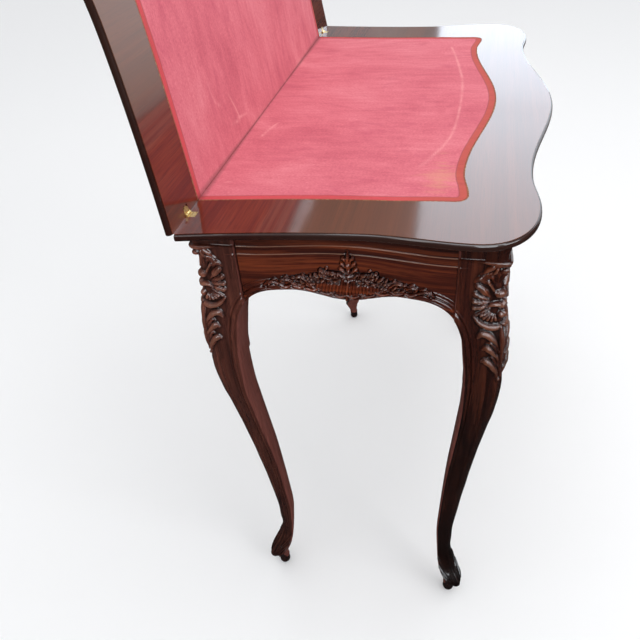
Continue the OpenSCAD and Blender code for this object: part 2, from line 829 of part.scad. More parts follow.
// Sliding bearer, grooved for the tongue of its guide.
module bearer(s) {
    length = bearer_end + back_in_y;
    color(WOOD) in_place() mirror([s < 0 ? 1 : 0, 0, 0]) difference() {
        translate([bearer_in_x, -bearer_end, bearer_top_z - bearer_d]) cube([bearer_w, length, bearer_d]);
        translate([bearer_out_x - tongue_w, -bearer_end - PAST, tongue_mid_z - tongue_h / 2 - run_clear])
            cube([tongue_w + PAST, length + 2 * PAST, tongue_h + 2 * run_clear]);
    }
}

module bearer_left() {
    bearer(-1);
}

module bearer_right() {
    bearer(1);
}

module bearer_tie() {
    color(WOOD) in_place()
        translate([-bearer_in_x, -bearer_end, tongue_mid_z - tie_d / 2])
        cube([2 * bearer_in_x, tie_t, tie_d]);
}

// Centres of the blocks that hold the fixed leaf: front pair, back pair, one at each end.
function glue_places() = [
    for (s = [-1, 1]) each [
        [s * glue_x, front_in_y + glue_w / 2],
        [s * glue_x, rail_front_y - glue_w / 2],
        [s * (side_in_x - guide_t / 2), side_mid_y]
    ]
];

module glue_blocks() {
    color(WOOD) in_place() difference() {
        for (p = glue_places()) {
            at_end = abs(p[0]) > glue_x + glue_len;
            size_x = at_end ? guide_t : glue_len;
            size_y = at_end ? glue_len : glue_w;
            translate([p[0] - size_x / 2, p[1] - size_y / 2, under_z - glue_w])
                cube([size_x, size_y, glue_w]);
        }
        for (p = glue_places()) translate([p[0], p[1], 0])
            cylinder(r = screw_r, h = table_h, $fn = ROUND_FN);
    }
}

module top_screws() {
    head_h = screw_head_r - screw_r;
    color(STEEL) in_place() for (p = glue_places()) translate([p[0], p[1], under_z - glue_w]) {
        translate([0, 0, -head_h]) cylinder(r = screw_head_r, h = head_h, $fn = ROUND_FN);
        cylinder(r = screw_r, h = glue_w + screw_bite, $fn = ROUND_FN);
    }
}

top_leaf();
top_baize();
front_apron();
left_apron();
right_apron();
front_leg_left();
front_leg_right();
front_foot_pads();
inner_rail();
guide_left();
guide_right();
glue_blocks();
top_screws();
hinge_plates_top();
hinge_pins();
hinge_screws_top();
lid_leaf();
lid_baize();
hinge_plates_lid();
hinge_screws_lid();
back_apron();
back_leg_left();
back_leg_right();
back_foot_pads();
bearer_left();
bearer_right();
bearer_tie();
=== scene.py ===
import math

import bpy
import numpy as np
from mathutils import Matrix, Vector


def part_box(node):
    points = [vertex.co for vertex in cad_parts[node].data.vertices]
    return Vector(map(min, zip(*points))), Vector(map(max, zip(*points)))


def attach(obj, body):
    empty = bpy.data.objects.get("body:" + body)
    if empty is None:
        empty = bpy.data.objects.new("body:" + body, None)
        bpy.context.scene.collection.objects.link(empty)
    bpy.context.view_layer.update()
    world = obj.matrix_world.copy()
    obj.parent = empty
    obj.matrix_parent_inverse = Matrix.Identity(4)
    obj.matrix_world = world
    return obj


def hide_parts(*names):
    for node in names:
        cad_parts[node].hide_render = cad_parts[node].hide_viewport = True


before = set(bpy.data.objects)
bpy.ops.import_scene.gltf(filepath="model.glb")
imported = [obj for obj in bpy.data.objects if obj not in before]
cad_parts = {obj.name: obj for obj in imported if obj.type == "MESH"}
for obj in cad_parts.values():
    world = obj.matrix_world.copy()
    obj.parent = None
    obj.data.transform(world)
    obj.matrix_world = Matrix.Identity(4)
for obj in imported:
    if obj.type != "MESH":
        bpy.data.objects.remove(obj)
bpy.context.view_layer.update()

# Sizes in millimetres, with the fold of the top on y = 0 and the floor on z = 0.
MM = 0.001
EDGE_GAP = 0.3
FOLD_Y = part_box("top_baize")[1][1] / MM + EDGE_GAP / 2
TABLE_H = 760.0
LEAF_T, LID_T = 11.0, 10.7
UNDER = TABLE_H - LEAF_T
FOLD_GAP = 0.5
# The fold edge is stepped this far below the face, and there each leaf reaches this far past its fold line at LIP,
# so that no light shows between the raised leaf and the other.
STEP = 0.2
TOP_LAP, LID_LAP, LIP = -1.05, 1.0, -0.01
LID_OPEN = math.radians(97.5)
TOP = dict(fold=848, hollow=805, corner=823, bow=433, ear=404.5, waist=397.5, ear_x=320, waist_x=250,
           corner_y=334)
BAIZE = dict(fold=686, hollow=652, corner=644, bow=352, ear=323.5, waist=316.5, ear_x=305, waist_x=250,
             corner_y=306.5)
HOLLOW_Y = 220
LEG_X, BACK_LEG_Y, FRONT_LEG_Y, HALF_BLOCK = 369.0, 31.0, 345.5, 27.5
ARCH_Z, DROP_Z = UNDER - 81, UNDER - 96
KNEE_W, KNEE_H, KNEE_SET, KNEE_POWER = 72.0, 120.0, 16.0, 3
SIDE_MID = -(FRONT_LEG_Y + BACK_LEG_Y) / 2
SIDE_HALF = (FRONT_LEG_Y - BACK_LEG_Y) / 2 - HALF_BLOCK
SIDE_OUT, SIDE_IN, SIDE_HOLLOW, SIDE_DROP, SIDE_BACK = 394.5, 366.5, 12.5, 70.0, -60.5
FRONT_INSET, FRONT_BACK, BACK_FACE, BACK_BACK = 33, -338, -15, -35
LONG_HALF, LONG_DROP = LEG_X - HALF_BLOCK, 170.0
ANKLE_IN, ANKLE_W, FOOT_W, KNEE_OUT, KNEE_WIDE, SPLAY = 17.6, 26.4, 35.0, 12.2, 49.4, 10.0
PAD_IN, PAD_R, PAD_H = 0.14 * ANKLE_IN, 9.5, 20.0
KNEE_FIRST = (KNEE_W - KNEE_SET) / KNEE_W
# The sliding frame clears the leaf by this.
BACK_DROP = 0.3
# Depth of the bed of a cloth, and the places and sizes of the housings that its hinges need.
BED, HINGE_X, HINGE_HOUSING, BARREL_R, BARREL_LONG = 0.6, 376, (12, 13, 3), 2.5, 12.6
# Heights: where a leg's carving and its square block begin, the two fillets, the cap, and the level rows of an apron.
CARVED_Z, BLOCK_Z, FILLETS, CAP_Z, LEVEL_Z = 545, 548, (719.4, 729.6), 731.5, 700
FASCIA, ARRIS = 0.9, 0.8
# Pitch of the marks of the gouge, in radians for each millimetre.
TOOL_MARK = 2 * math.pi / 1.8


# Curves and distances

def ease(s):
    """A smooth rise from 0 to 1, as in the solids."""
    return (1 - np.cos(np.pi * s)) / 2


def ramp(x, a, b):
    """A smooth step from 0 at a to 1 at b."""
    t = np.clip((np.asarray(x, float) - a) / (b - a), 0, 1)
    return t * t * (3 - 2 * t)


def bell(x, middle, half):
    """A parabola of height 1 across x, and 0 outside it."""
    return np.clip(1 - ((x - middle) / half) ** 2, 0, 1)


def hump(x, middle, half):
    """A rounded ridge of height 1 across x."""
    return np.sqrt(bell(x, middle, half))


def spline(points, per):
    """Smooth curve through points, with per steps between two of them."""
    p = np.asarray(points, float)
    p = np.vstack([2 * p[0] - p[1], p, 2 * p[-1] - p[-2]])
    t = np.linspace(0, 1, per, endpoint=False)[:, None]
    parts = []
    for i in range(1, len(p) - 2):
        a, b, c, d = p[i - 1], p[i], p[i + 1], p[i + 2]
        parts.append(0.5 * (2 * b + (c - a) * t + (2 * a - 5 * b + 4 * c - d) * t ** 2
                            + (3 * b - a - 3 * c + d) * t ** 3))
    return np.vstack(parts + [p[-2][None]])


def distance_to(x, z, line):
    """Distance of each point (x, z) to a polyline."""
    flat = np.stack([np.ravel(x), np.ravel(z)], 1)
    best = np.full(len(flat), 1e9)
    for a, b in zip(line[:-1], line[1:]):
        d = b - a
        t = np.clip(((flat - a) @ d) / max(d @ d, 1e-9), 0, 1)
        best = np.minimum(best, np.hypot(*(flat - a - t[:, None] * d).T))
    return best.reshape(np.shape(x))


# Meshes

def in_place(p):
    """Points of the fixed table, from the fold frame in mm to the row frame in metres."""
    return (np.asarray(p, float) + (0, FOLD_Y, 0)) * MM


def on_top(p):
    """Points of the fixed leaf, with its playing surface on z = 0."""
    return in_place(np.asarray(p, float) + (0, 0, TABLE_H))


def on_lid(p):
    """Points of a leaf with its playing surface on z = 0: turned over, then opened."""
    p = np.asarray(p, float)
    y, z = p[:, 1], FOLD_GAP / 2 - p[:, 2]
    c, s = math.cos(-LID_OPEN), math.sin(-LID_OPEN)
    return in_place(np.stack([p[:, 0], y * c - z * s, y * s + z * c + TABLE_H + FOLD_GAP / 2], 1))


def mesh_of(name, points, quads, others=(), flip=False):
    """A mesh from points, an array of quads and a list of other polygons."""
    loops = [np.asarray(quads, int).ravel()] + [np.asarray(f, int) for f in others]
    if flip:
        loops[0] = np.asarray(quads, int)[:, ::-1].ravel()
        loops[1:] = [f[::-1] for f in loops[1:]]
    sizes = np.array([4] * len(quads) + [len(f) for f in others])
    loops = np.concatenate(loops)
    mesh = bpy.data.meshes.new(name)
    mesh.vertices.add(len(points))
    mesh.vertices.foreach_set("co", np.asarray(points, np.float32).ravel())
    mesh.loops.add(len(loops))
    mesh.loops.foreach_set("vertex_index", loops.astype(np.int32))
    mesh.polygons.add(len(sizes))
    mesh.polygons.foreach_set("loop_start", np.concatenate([[0], np.cumsum(sizes)[:-1]]).astype(np.int32))
    mesh.update(calc_edges=True)
    mesh.validate()
    return mesh


def points_of(mesh):
    co = np.zeros(len(mesh.vertices) * 3, np.float32)
    mesh.vertices.foreach_get("co", co)
    return co.reshape(-1, 3)


def store(mesh, **kinds):
    """Stores numbers or vectors per vertex, for the materials."""
    for name, values in kinds.items():
        values = np.asarray(values, np.float32)
        vector = values.ndim == 2
        held = mesh.attributes.new(name, "FLOAT_VECTOR" if vector else "FLOAT", "POINT")
        held.data.foreach_set("vector" if vector else "value", values.ravel())


def add_piece(name, mesh, body, material, replaced, sharp):
    """Shows a mesh for the node that it replaces, smooth where its faces meet at less than sharp degrees."""
    mesh.materials.clear()
    mesh.materials.append(material)
    mesh.polygons.foreach_set("use_smooth", np.ones(len(mesh.polygons), bool))
    mesh.set_sharp_from_angle(angle=math.radians(sharp))
    piece = link(bpy.data.objects.new(name, mesh))
    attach(piece, body)
    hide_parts(replaced)
    return piece


def area_of(rim):
    """Area inside an outline."""
    x, y = rim.T
    return abs(np.dot(x, np.roll(y, -1)) - np.dot(y, np.roll(x, -1))) / 2


def unit(x, y):
    """Outward directions in plan, made one long."""
    return np.stack([x, y], 1) / np.hypot(x, y)[:, None]


def link(thing):
    """Puts an object into the scene."""
    bpy.context.scene.collection.objects.link(thing)
    return thing


def row_of(k, count):
    """Indices of row k of a grid."""
    return list(range(k * count, (k + 1) * count))


def grid_quads(rows, columns, closed=False):
    """Quads of a grid of points, row after row. Closed joins the last column to the first."""
    i, j = np.meshgrid(np.arange(rows - 1), np.arange(columns if closed else columns - 1), indexing="ij")
    k = (j + 1) % columns
    return np.stack([i * columns + j, i * columns + k, (i + 1) * columns + k, (i + 1) * columns + j],
                    -1).reshape(-1, 4)


def normals_of(grid):
    """Unit normals of a grid of points that closes on itself, by differences along both ways."""
    n = np.cross(np.roll(grid, -1, 1) - np.roll(grid, 1, 1), np.gradient(grid, axis=0))
    return n / np.maximum(np.linalg.norm(n, axis=-1, keepdims=True), 1e-9)


# Relief carved on a face, as heights over a flat chart

class Relief:
    step = 0.5

    def __init__(self, wide, low, high):
        self.low = low
        self.s, self.z = np.meshgrid(np.arange(-2, wide, self.step), np.arange(low, high, self.step))
        self.h = np.zeros_like(self.s)
        self.phase, self.ribbed = np.zeros_like(self.s), np.zeros_like(self.s)

    def tool(self, phase, part):
        """Fine ribs that the gouge left on part of the carving, from a phase in radians."""
        self.phase = np.where(part > self.ribbed, phase, self.phase)
        self.ribbed = np.maximum(self.ribbed, part)

    def put(self, d, r, height, crease=0.9, power=0.6, part=(slice(None), slice(None))):
        """Raises a form of half width r over the chart, d from its middle line, with a groove round it."""
        form = height * bell(d, 0, r) ** power
        held = self.h[part]
        held = np.where(d < r, np.maximum(form, np.minimum(held, form + 0.2)), held)
        self.h[part] = held - crease * bell(d, r + 0.5, 0.9)

    def stroke(self, points, width, height, crease=0.9, vein=0.0, power=0.6):
        """Raises a leaf or rib along a curve, with its half widths and the depth of its veins."""
        path = spline(points, 40)
        w = np.interp(np.linspace(0, 1, len(path)), np.linspace(0, 1, len(width)), width)
        room = max(width) + 3
        columns = np.flatnonzero((self.s[0] > path[:, 0].min() - room) & (self.s[0] < path[:, 0].max() + room))
        rows = np.flatnonzero((self.z[:, 0] > path[:, 1].min() - room) & (self.z[:, 0] < path[:, 1].max() + room))
        part = (slice(rows[0], rows[-1] + 1), slice(columns[0], columns[-1] + 1))
        s, z = self.s[part], self.z[part]
        best, d, r = np.full(s.shape, 1e9), np.full(s.shape, 99.0), np.ones(s.shape)
        for (a, b), half in zip(path, w):
            away = np.hypot(s - a, z - b)
            near = away / half < best
            best, d, r = np.where(near, away / half, best), np.where(near, away, d), np.where(near, half, r)
        self.put(d, r, height * np.clip(r / max(width), 0.5, 1), crease, power, part)
        for line in (0.0, 0.58):
            self.h[part] -= vein * bell(best, line, 0.22)

    def ball(self, s, z, r, height, crease=0.9):
        self.put(np.hypot(self.s - s, self.z - z), r, height, crease)

    def hollow(self, s, z, wide, high, depth, turn=0.0):
        c, n = math.cos(math.radians(turn)), math.sin(math.radians(turn))
        u = ((self.s - s) * c + (self.z - z) * n) / wide
        v = (-(self.s - s) * n + (self.z - z) * c) / high
        self.h -= depth * np.clip(1 - u * u - v * v, 0, 1) ** 0.6

    def finished(self, reach=3.0):
        """Keeps how far each place stands out of what is round it, for the painted shade in the hollows and the
        painted light on the ridges, with the dirt and the wear.
        """
        half = int(reach / self.step)
        round_it = np.pad(self.h, 2 * half, "edge")
        for axis in (0, 1) * 2:
            round_it = sum(np.roll(round_it, k, axis) for k in range(-half, half + 1)) / (2 * half + 1)
        inner = slice(2 * half, -2 * half)
        self.shade = np.clip(self.h - round_it[inner, inner], -2.5, 2.5)
        return self

    def at(self, s, z, values=None):
        """Height, or another of the charts, at places on the face."""
        h = self.h if values is None else values
        i = np.clip((np.asarray(s) + 2) / self.step, 0, self.s.shape[1] - 1.001)
        j = np.clip((np.asarray(z) - self.low) / self.step, 0, self.s.shape[0] - 1.001)
        i0, j0 = i.astype(int), j.astype(int)
        a, b = i - i0, j - j0
        return (h[j0, i0] * (1 - a) * (1 - b) + h[j0, i0 + 1] * a * (1 - b) + h[j0 + 1, i0] * (1 - a) * b
                + h[j0 + 1, i0 + 1] * a * b)


def knee_relief():
    """Half of the carving on the head of a leg. s runs from the outer corner inward."""
    k = Relief(64, 536, 752)
    ground = np.interp(k.z, [556, 575, 600, 640, 660, 690, 728], [8, 19, 27, 31, 34, 38, 39])
    k.h -= 1.8 * ramp(k.s, ground + 2.5, ground - 2) * ramp(k.z, 556, 575) * ramp(k.z, 729, 726)
    # Hollow flutes under the cap, with sharp ribs that gather at a ball.
    r = np.hypot(k.s - 2, k.z - 687)
    turn = np.degrees(np.arctan2(k.s - 2, k.z - 687))
    bow = 33 + 1.3 * np.abs(np.sin(np.radians(turn) * 8.2))
    fan = ramp(r, bow + 1, bow - 1.5) * ramp(r, 5, 9) * ramp(turn, 68, 62)
    rib = 1 - np.abs(np.sin(np.radians(turn - 4) * 8.2)) ** 0.9
    k.h = np.where(fan > 0.02, fan * (-1.0 + 3.6 * ramp(r, 13, 32) + 2.2 * rib * ramp(r, 6, 14)), k.h)
    k.stroke([(16, 703), (12, 695), (8, 687)], [2.0, 1.8, 1.6], 4.6, crease=1.0)
    # Ruffled lobes that spread from beside the ball.
    for path, wide, high in ((((15, 683), (21, 690), (27, 697)), 5.2, 5.6),
                             (((15, 678), (23, 681.5), (30, 686)), 4.2, 5.0),
                             (((15, 675.5), (23, 676), (31, 676.5)), 3.8, 5.8),
                             (((15, 671.5), (23, 670), (31, 668.5)), 3.8, 6.2),
                             (((14, 667.5), (22, 662.5), (29.5, 658)), 2.6, 3.6)):
        k.stroke(path, [1.8, wide, wide * 0.9], high, crease=1.3, vein=0.75)
    # Ribs that run out of the eye.
    for angle, reach in ((206, 17.5), (222, 17), (238, 16), (255, 15), (273, 13.5)):
        c, n = -math.cos(math.radians(angle)), math.sin(math.radians(angle))
        k.stroke([(8 + 6 * c, 665 + 5 * n), (8 + reach * 0.7 * c, 665 + reach * 0.62 * n),
                  (8 + reach * c, 665 + reach * 0.85 * n)], [0.9, 1.9, 2.0], 4.6, crease=1.2)
    k.hollow(6.5, 663.5, 7.0, 4.6, 6.0, 8)
    k.stroke([(17, 669), (12, 673), (5, 673.5), (0, 671)], [1.4, 2.8, 3.6, 3.6], 6.2, crease=1.2)
    k.stroke([(8, 688), (4, 686.5), (0, 686)], [2.4, 4.8, 5.2], 6.4, crease=1.4, power=0.5)
    k.hollow(6, 679.0, 9, 2.2, 3.4)
    k.ball(0, 659, 4.6, 5.6, 1.2)
    k.hollow(5, 651.0, 11, 2.0, 2.8, -6)
    # Crescent leaf under the shell.
    k.stroke([(31.5, 656), (26, 649), (19, 644.5), (11, 643), (3, 643.5)], [1.6, 3.2, 3.9, 4.4, 3.6], 6.4, crease=1.4,
             power=0.5)
    # Stem and the leaves that hang from it, each curled over at its tip.
    k.stroke([(0, 641), (0, 618), (0, 590), (0, 566)], [3.0, 3.8, 3.2, 1.8], 4.6, crease=1.2)
    for points, wide in ((((28, 628), (22, 633.5), (15, 631.5), (9, 622), (4, 606)), 5.0),
                         (((23, 612), (17, 614), (11, 607.5), (6.5, 598), (3, 585)), 5.2),
                         (((24, 594), (18, 594.5), (11.5, 587.5), (6, 578), (2.5, 567)), 4.8)):
        k.stroke(points, [1.8, wide, wide, wide * 0.75, 1.6], 6.4, crease=1.5, power=0.5)
        (a1, b1), (a2, b2) = points[1:3]
        k.hollow((a1 + a2) / 2 + 1.5, (b1 + b2) / 2 - wide * 0.75, wide * 0.9, wide * 0.42, 2.4, 35)
    for points in (((18, 621), (13.5, 622), (9, 615), (6, 606)), ((15, 600), (11.5, 601), (8, 594), (5, 585))):
        k.stroke(points, [1.0, 2.4, 2.4, 1.2], 3.8, crease=1.0)
    k.ball(0, 563, 2.8, 4.0, 1.0)
    # Arcs cut into the plain side.
    for offset in (0, 3.6):
        k.stroke([(50 + offset * 0.3, 721 - offset * 0.4), (46 + offset, 708), (45 + offset, 686)],
                 [1.2, 1.3, 0.8], 0.9, crease=0.7)
    # Leaf folded over under the cap, with an oval boss on the corner.
    k.stroke([(25, 713), (21, 719), (15, 723), (8, 726)], [1.6, 3.4, 4.0, 3.4], 5.0, crease=1.2)
    k.stroke([(14, 712), (12.5, 717), (11, 722)], [1.4, 2.6, 2.4], 5.4, crease=1.0)
    k.put(np.hypot(k.s, (k.z - 718) * 1.7), 7.6, 4.6, 1.6, 0.5)
    k.h = np.where(k.z > 726, np.minimum(k.h, 3.0), k.h)
    # Cap moulding: a thick lip at the corner that thins to a line.
    thick = np.interp(k.s, [0, 12, 24, 32, 60], [4.2, 4.0, 2.2, 1.0, 0.9])
    rise = np.interp(k.s, [0, 12, 24, 32, 60], [4.6, 4.2, 2.6, 1.5, 1.3])
    lip = rise * hump(k.z, CAP_Z - thick, thick)
    k.h = np.where(k.z < CAP_Z, np.maximum(k.h, lip), -1.6 + 2.0 * ramp(k.z, 738, 749))
    # Fillet that carries the lines of the aprons on to the plain side.
    k.h += np.where(k.s > 40, 0.8 * bell(k.z, 719.6, 0.8), 0)
    raised = ramp(k.h, 0.8, 2.4) * ramp(k.z, 724, 720)
    k.tool(TOOL_MARK * 20 * np.arctan2(k.z - 665, k.s - 6), raised * ramp(k.s, 12, 15) * ramp(k.z, 652, 656)
           * ramp(k.z, 702, 698))
    k.tool(TOOL_MARK * 26 * np.arctan2(k.s - 2, k.z - 687), 0.7 * fan * ramp(k.z, 698, 702))
    k.tool(TOOL_MARK * (0.75 * k.s + 0.66 * k.z), 0.7 * raised * ramp(k.z, 652, 650))
    return k.finished()


def foot_relief():
    """Half of the carving on a foot: toes that spread from the ankle, and a ball at the corner."""
    f = Relief(48, 18, 150)
    for path in ([(29, 108), (20, 88), (11, 64)], [(31, 88), (22, 68), (13, 46)], [(25, 60), (20, 49), (15, 38)]):
        f.stroke(path, [0.8, 1.9, 1.3], 1.9, crease=0.7)
    f.stroke([(0, 118), (0, 80), (0, 46)], [1.2, 2.2, 3.0], 1.6, crease=0.5)
    f.stroke([(7, 104), (6.5, 75), (7.5, 48)], [0.7, 1.4, 1.6], 1.0, crease=0.5)
    f.ball(0, 36.5, 7, 2.0, 0.5)
    f.hollow(10, 37, 4.5, 3.0, 1.8)
    return f.finished()


def chart_rise(s):
    """How much higher the chart of the cartouche stands than the hollow face it is carved on."""
    return 0.68 * np.maximum(SIDE_HOLLOW * ease(1 - np.minimum(np.abs(s) / SIDE_HALF, 1)) - 2.0, 0)


def cartouche_relief():
    """Half of the carving in the middle of an apron. s runs outward, z is above the floor."""
    c = Relief(112, 640, 760)
    low = DROP_Z + (ARCH_Z - DROP_Z) * ease(np.clip(c.s / SIDE_DROP, 0, 1)) + chart_rise(c.s)
    # Field of upright flutes with a broken crest.
    crest = np.interp(c.s, [0, 8, 16, 24, 31, 38, 46, 52, 60], [700, 698, 693, 695, 690, 691, 685, 682, 676])
    field = ramp(c.z, low + 6, low + 8) * ramp(c.z, crest, crest - 3) * ramp(c.s, 56, 52)
    flute = np.abs(np.cos(np.pi * c.s / 4.2 + 0.04 * (c.z - 670)))
    c.h = field * (0.7 + 1.9 * flute ** 0.9 + 1.2 * ramp(c.s, 6, 0))
    # Spine and plume in the middle, with small curls beside it.
    c.stroke([(0, 660), (0, 684), (0, 708)], [1.6, 2.6, 2.2], 4.4, vein=0.8)
    c.stroke([(0, 702), (0.4, 716), (-0.4, 732)], [2.4, 3.4, 1.2], 4.8, vein=0.8)
    for s, z, reach in ((4.0, 722, 3.4), (5.0, 714, 5.0), (6.0, 706, 6.5), (8.0, 698, 7.5)):
        c.stroke([(0.8, z - 7), (s, z - 2), (s + reach * 0.5, z + 1), (s + reach * 0.7, z - 2.5)],
                 [0.9, 1.8, 1.7, 1.0], 3.2)
    # Scroll with a dark eye, then small leaves that lie across one another along the crest.
    c.stroke([(12, 686), (15, 695), (21, 696), (23, 689), (18, 686)], [1.6, 2.2, 2.4, 2.0, 1.4], 4.0)
    c.hollow(18.5, 691, 2.6, 2.2, 3.4)
    for i in range(34):
        s = 12 + 46 * i / 33
        top = np.interp(s, [12, 20, 30, 36, 44, 52, 60], [700, 704, 704, 699, 697, 691, 686])
        z = top - 3 - 12 * (0.618 * i % 1)
        turn, size = 1.2 + 2.3 * math.sin(2.4 * i), 3.0 + 1.8 * (0.37 * i % 1)
        a, b = size * math.cos(turn), size * abs(math.sin(turn))
        c.stroke([(s - a, z - b), (s + 0.3 * b, z), (s + a, z + b), (s + a + 1.2, z + b - 2)],
                 [0.7, 0.42 * size, 0.36 * size, 0.8], 2.6 + 0.5 * size, crease=1.1)
    c.ball(45, 689.5, 2.6, 4.2)
    c.ball(34, 702, 2.0, 3.4)
    c.ball(26, 706, 1.6, 3.0)
    # Trailing scrolls and leaves.
    c.stroke([(47, 678), (51, 686), (57, 691), (63, 690), (64, 686), (61, 684)], [1.3, 2.0, 2.2, 2.0, 1.6, 1.1], 3.4)
    c.hollow(59.5, 687, 2.2, 1.6, 2.4)
    c.stroke([(58, 677), (66, 680), (73, 686), (80, 686), (82, 682), (79, 680)], [1.2, 1.9, 2.2, 1.9, 1.5, 1.0], 3.0)
    for s, z, lean, size in ((55, 694, 2, 0.8), (67, 689, 3, 0.9), (70, 677, 3, 0.8), (76, 690, 3, 0.7),
                             (86, 679, 3, 0.9), (90, 685, 3, 0.7), (97, 681, 3, 0.8), (102, 676, 2, 0.6)):
        c.stroke([(s - lean * 1.5, z - 4 * size), (s, z), (s + lean, z - 1.5)], [0.7, 2.0 * size, 0.9], 3.0 * size)
    c.stroke([(74, 675), (84, 678), (92, 681), (99, 679), (103, 675)], [1.0, 1.6, 1.8, 1.5, 0.8], 2.4, vein=0.4)
    c.ball(96, 677.5, 2.0, 2.8)
    c.ball(68, 684, 1.6, 2.6)
    # Scalloped lips along the lower edge.
    for middle, half in ((7, 8), (24, 9), (42, 9), (60, 8), (76, 7)):
        rise = DROP_Z + (ARCH_Z - DROP_Z) * ease(min(middle / SIDE_DROP, 1)) + chart_rise(middle)
        c.stroke([(middle - half, rise + 7.5), (middle, rise + 4.2), (middle + half, rise + 6.5)],
                 [1.0, 2.6, 1.4], 2.8)
    raised = ramp(c.h, 0.8, 2.0) * ramp(c.z, low + 7, low + 9)
    c.tool(TOOL_MARK * 50 * np.arctan2(c.s, c.z - 640), 0.8 * raised * ramp(c.z, crest - 2, crest + 1))
    c.tool(TOOL_MARK * 0.8 * c.s, 0.8 * raised * ramp(c.z, crest + 1, crest - 2))
    c.h *= 1.3
    return c.finished(2.0)


# Edge of the aprons and of the legs' inner sides

def knee_fall(s):
    """How far an apron's lower edge has fallen at a share s of the knee's width."""
    return KNEE_H * (1 - (1 - np.clip(s, 0, 1) ** KNEE_POWER) ** (1 / KNEE_POWER))


def low_edge(off, half, drop_w):
    """Lower edge of an apron at a distance from its middle."""
    off = np.abs(off)
    s = (off - (half + KNEE_SET - KNEE_W)) / KNEE_W
    arch = ARCH_Z - knee_fall(s)
    return np.where(off < drop_w, DROP_Z + (ARCH_Z - DROP_Z) * ease(np.minimum(off / drop_w, 1)), arch)


# Beads and grooves that follow an edge: height, distance from it and half width.
BEADS = ((1.9, 6.2, 2.5), (-0.9, 9.6, 0.9), (0.9, 11.6, 1.2), (-0.5, 3.0, 0.8), (0.5, 16.2, 0.8), (-0.6, 17.4, 0.6))


def edge_moulding(e, size=1.0):
    """Height of the beads at a distance e from their edge."""
    return size * sum(high * hump(e, middle, half) for high, middle, half in BEADS)


# Outlines of the leaves and of the baize

def front_depth(x, o):
    """Depth of the serpentine front of an outline at a distance x from the middle."""
    x = np.asarray(x, float)
    inner = o["bow"] - (o["bow"] - o["waist"]) * ease(np.clip(x / o["waist_x"], 0, 1))
    share = (x - o["waist_x"]) / (o["ear_x"] - o["waist_x"])
    outer = o["waist"] + (o["ear"] - o["waist"]) * ease(np.clip(share, 0, 1))
    return np.where(x < o["waist_x"], inner, outer)


def outline(o):
    """From the right end of the fold round the front to the left end."""
    steps = (26, 18, 18, 12, 34)
    t = np.arange(steps[0]) / steps[0]
    parts = [np.stack([o["hollow"] / 2 + (o["fold"] - o["hollow"]) / 2 * (1 - t) ** 1.5, -HOLLOW_Y * t], 1)]
    s = np.arange(steps[1]) / steps[1]
    parts.append(np.stack([o["hollow"] / 2 + (o["corner"] - o["hollow"]) / 2 * ease(s),
                           -HOLLOW_Y - (o["corner_y"] - HOLLOW_Y) * s], 1))
    a = np.pi / 2 * np.arange(steps[2]) / steps[2]
    parts.append(np.stack([o["ear_x"] + (o["corner"] / 2 - o["ear_x"]) * np.cos(a) ** 0.9,
                           -o["corner_y"] - (o["ear"] - o["corner_y"]) * np.sin(a) ** 0.9], 1))
    x = np.concatenate([o["ear_x"] - (o["ear_x"] - o["waist_x"]) * np.arange(steps[3]) / steps[3],
                        o["waist_x"] * (1 - np.arange(steps[4] + 1) / steps[4])])
    parts.append(np.stack([x, -front_depth(x, o)], 1))
    half = np.vstack(parts)
    both = np.vstack([half, half[-2::-1] * (-1, 1)])
    both[:, 1] -= EDGE_GAP / 2
    both[[0, -1], 1] = LIP
    return both


def drawn_in(points, amount):
    """An outline moved inward, its ends only along the fold."""
    d = np.vstack([points[1:2] - points[:1], points[2:] - points[:-2], points[-1:] - points[-2:-1]])
    n = np.stack([d[:, 1], -d[:, 0]], 1)
    n /= np.linalg.norm(n, axis=1, keepdims=True)
    n[0], n[-1] = (-1, 0), (1, 0)
    return points + n * amount


# Levels of the moulded edge, from the underside up: (share of the thickness from the top, inset).
EDGE_LEVELS = ([(1 - 0.5 * u, 7 * (1 - math.sqrt(1 - (1 - u) ** 2))) for u in np.linspace(0, 1, 7)]
               + [(0.44, 0.0)]
               + [(0.44 - 0.34 * u, 2.1 * (1 - math.sqrt(1 - u * u))) for u in np.linspace(0.25, 1, 6)]
               + [(0.1, 2.7), (0.0, 3.0)])


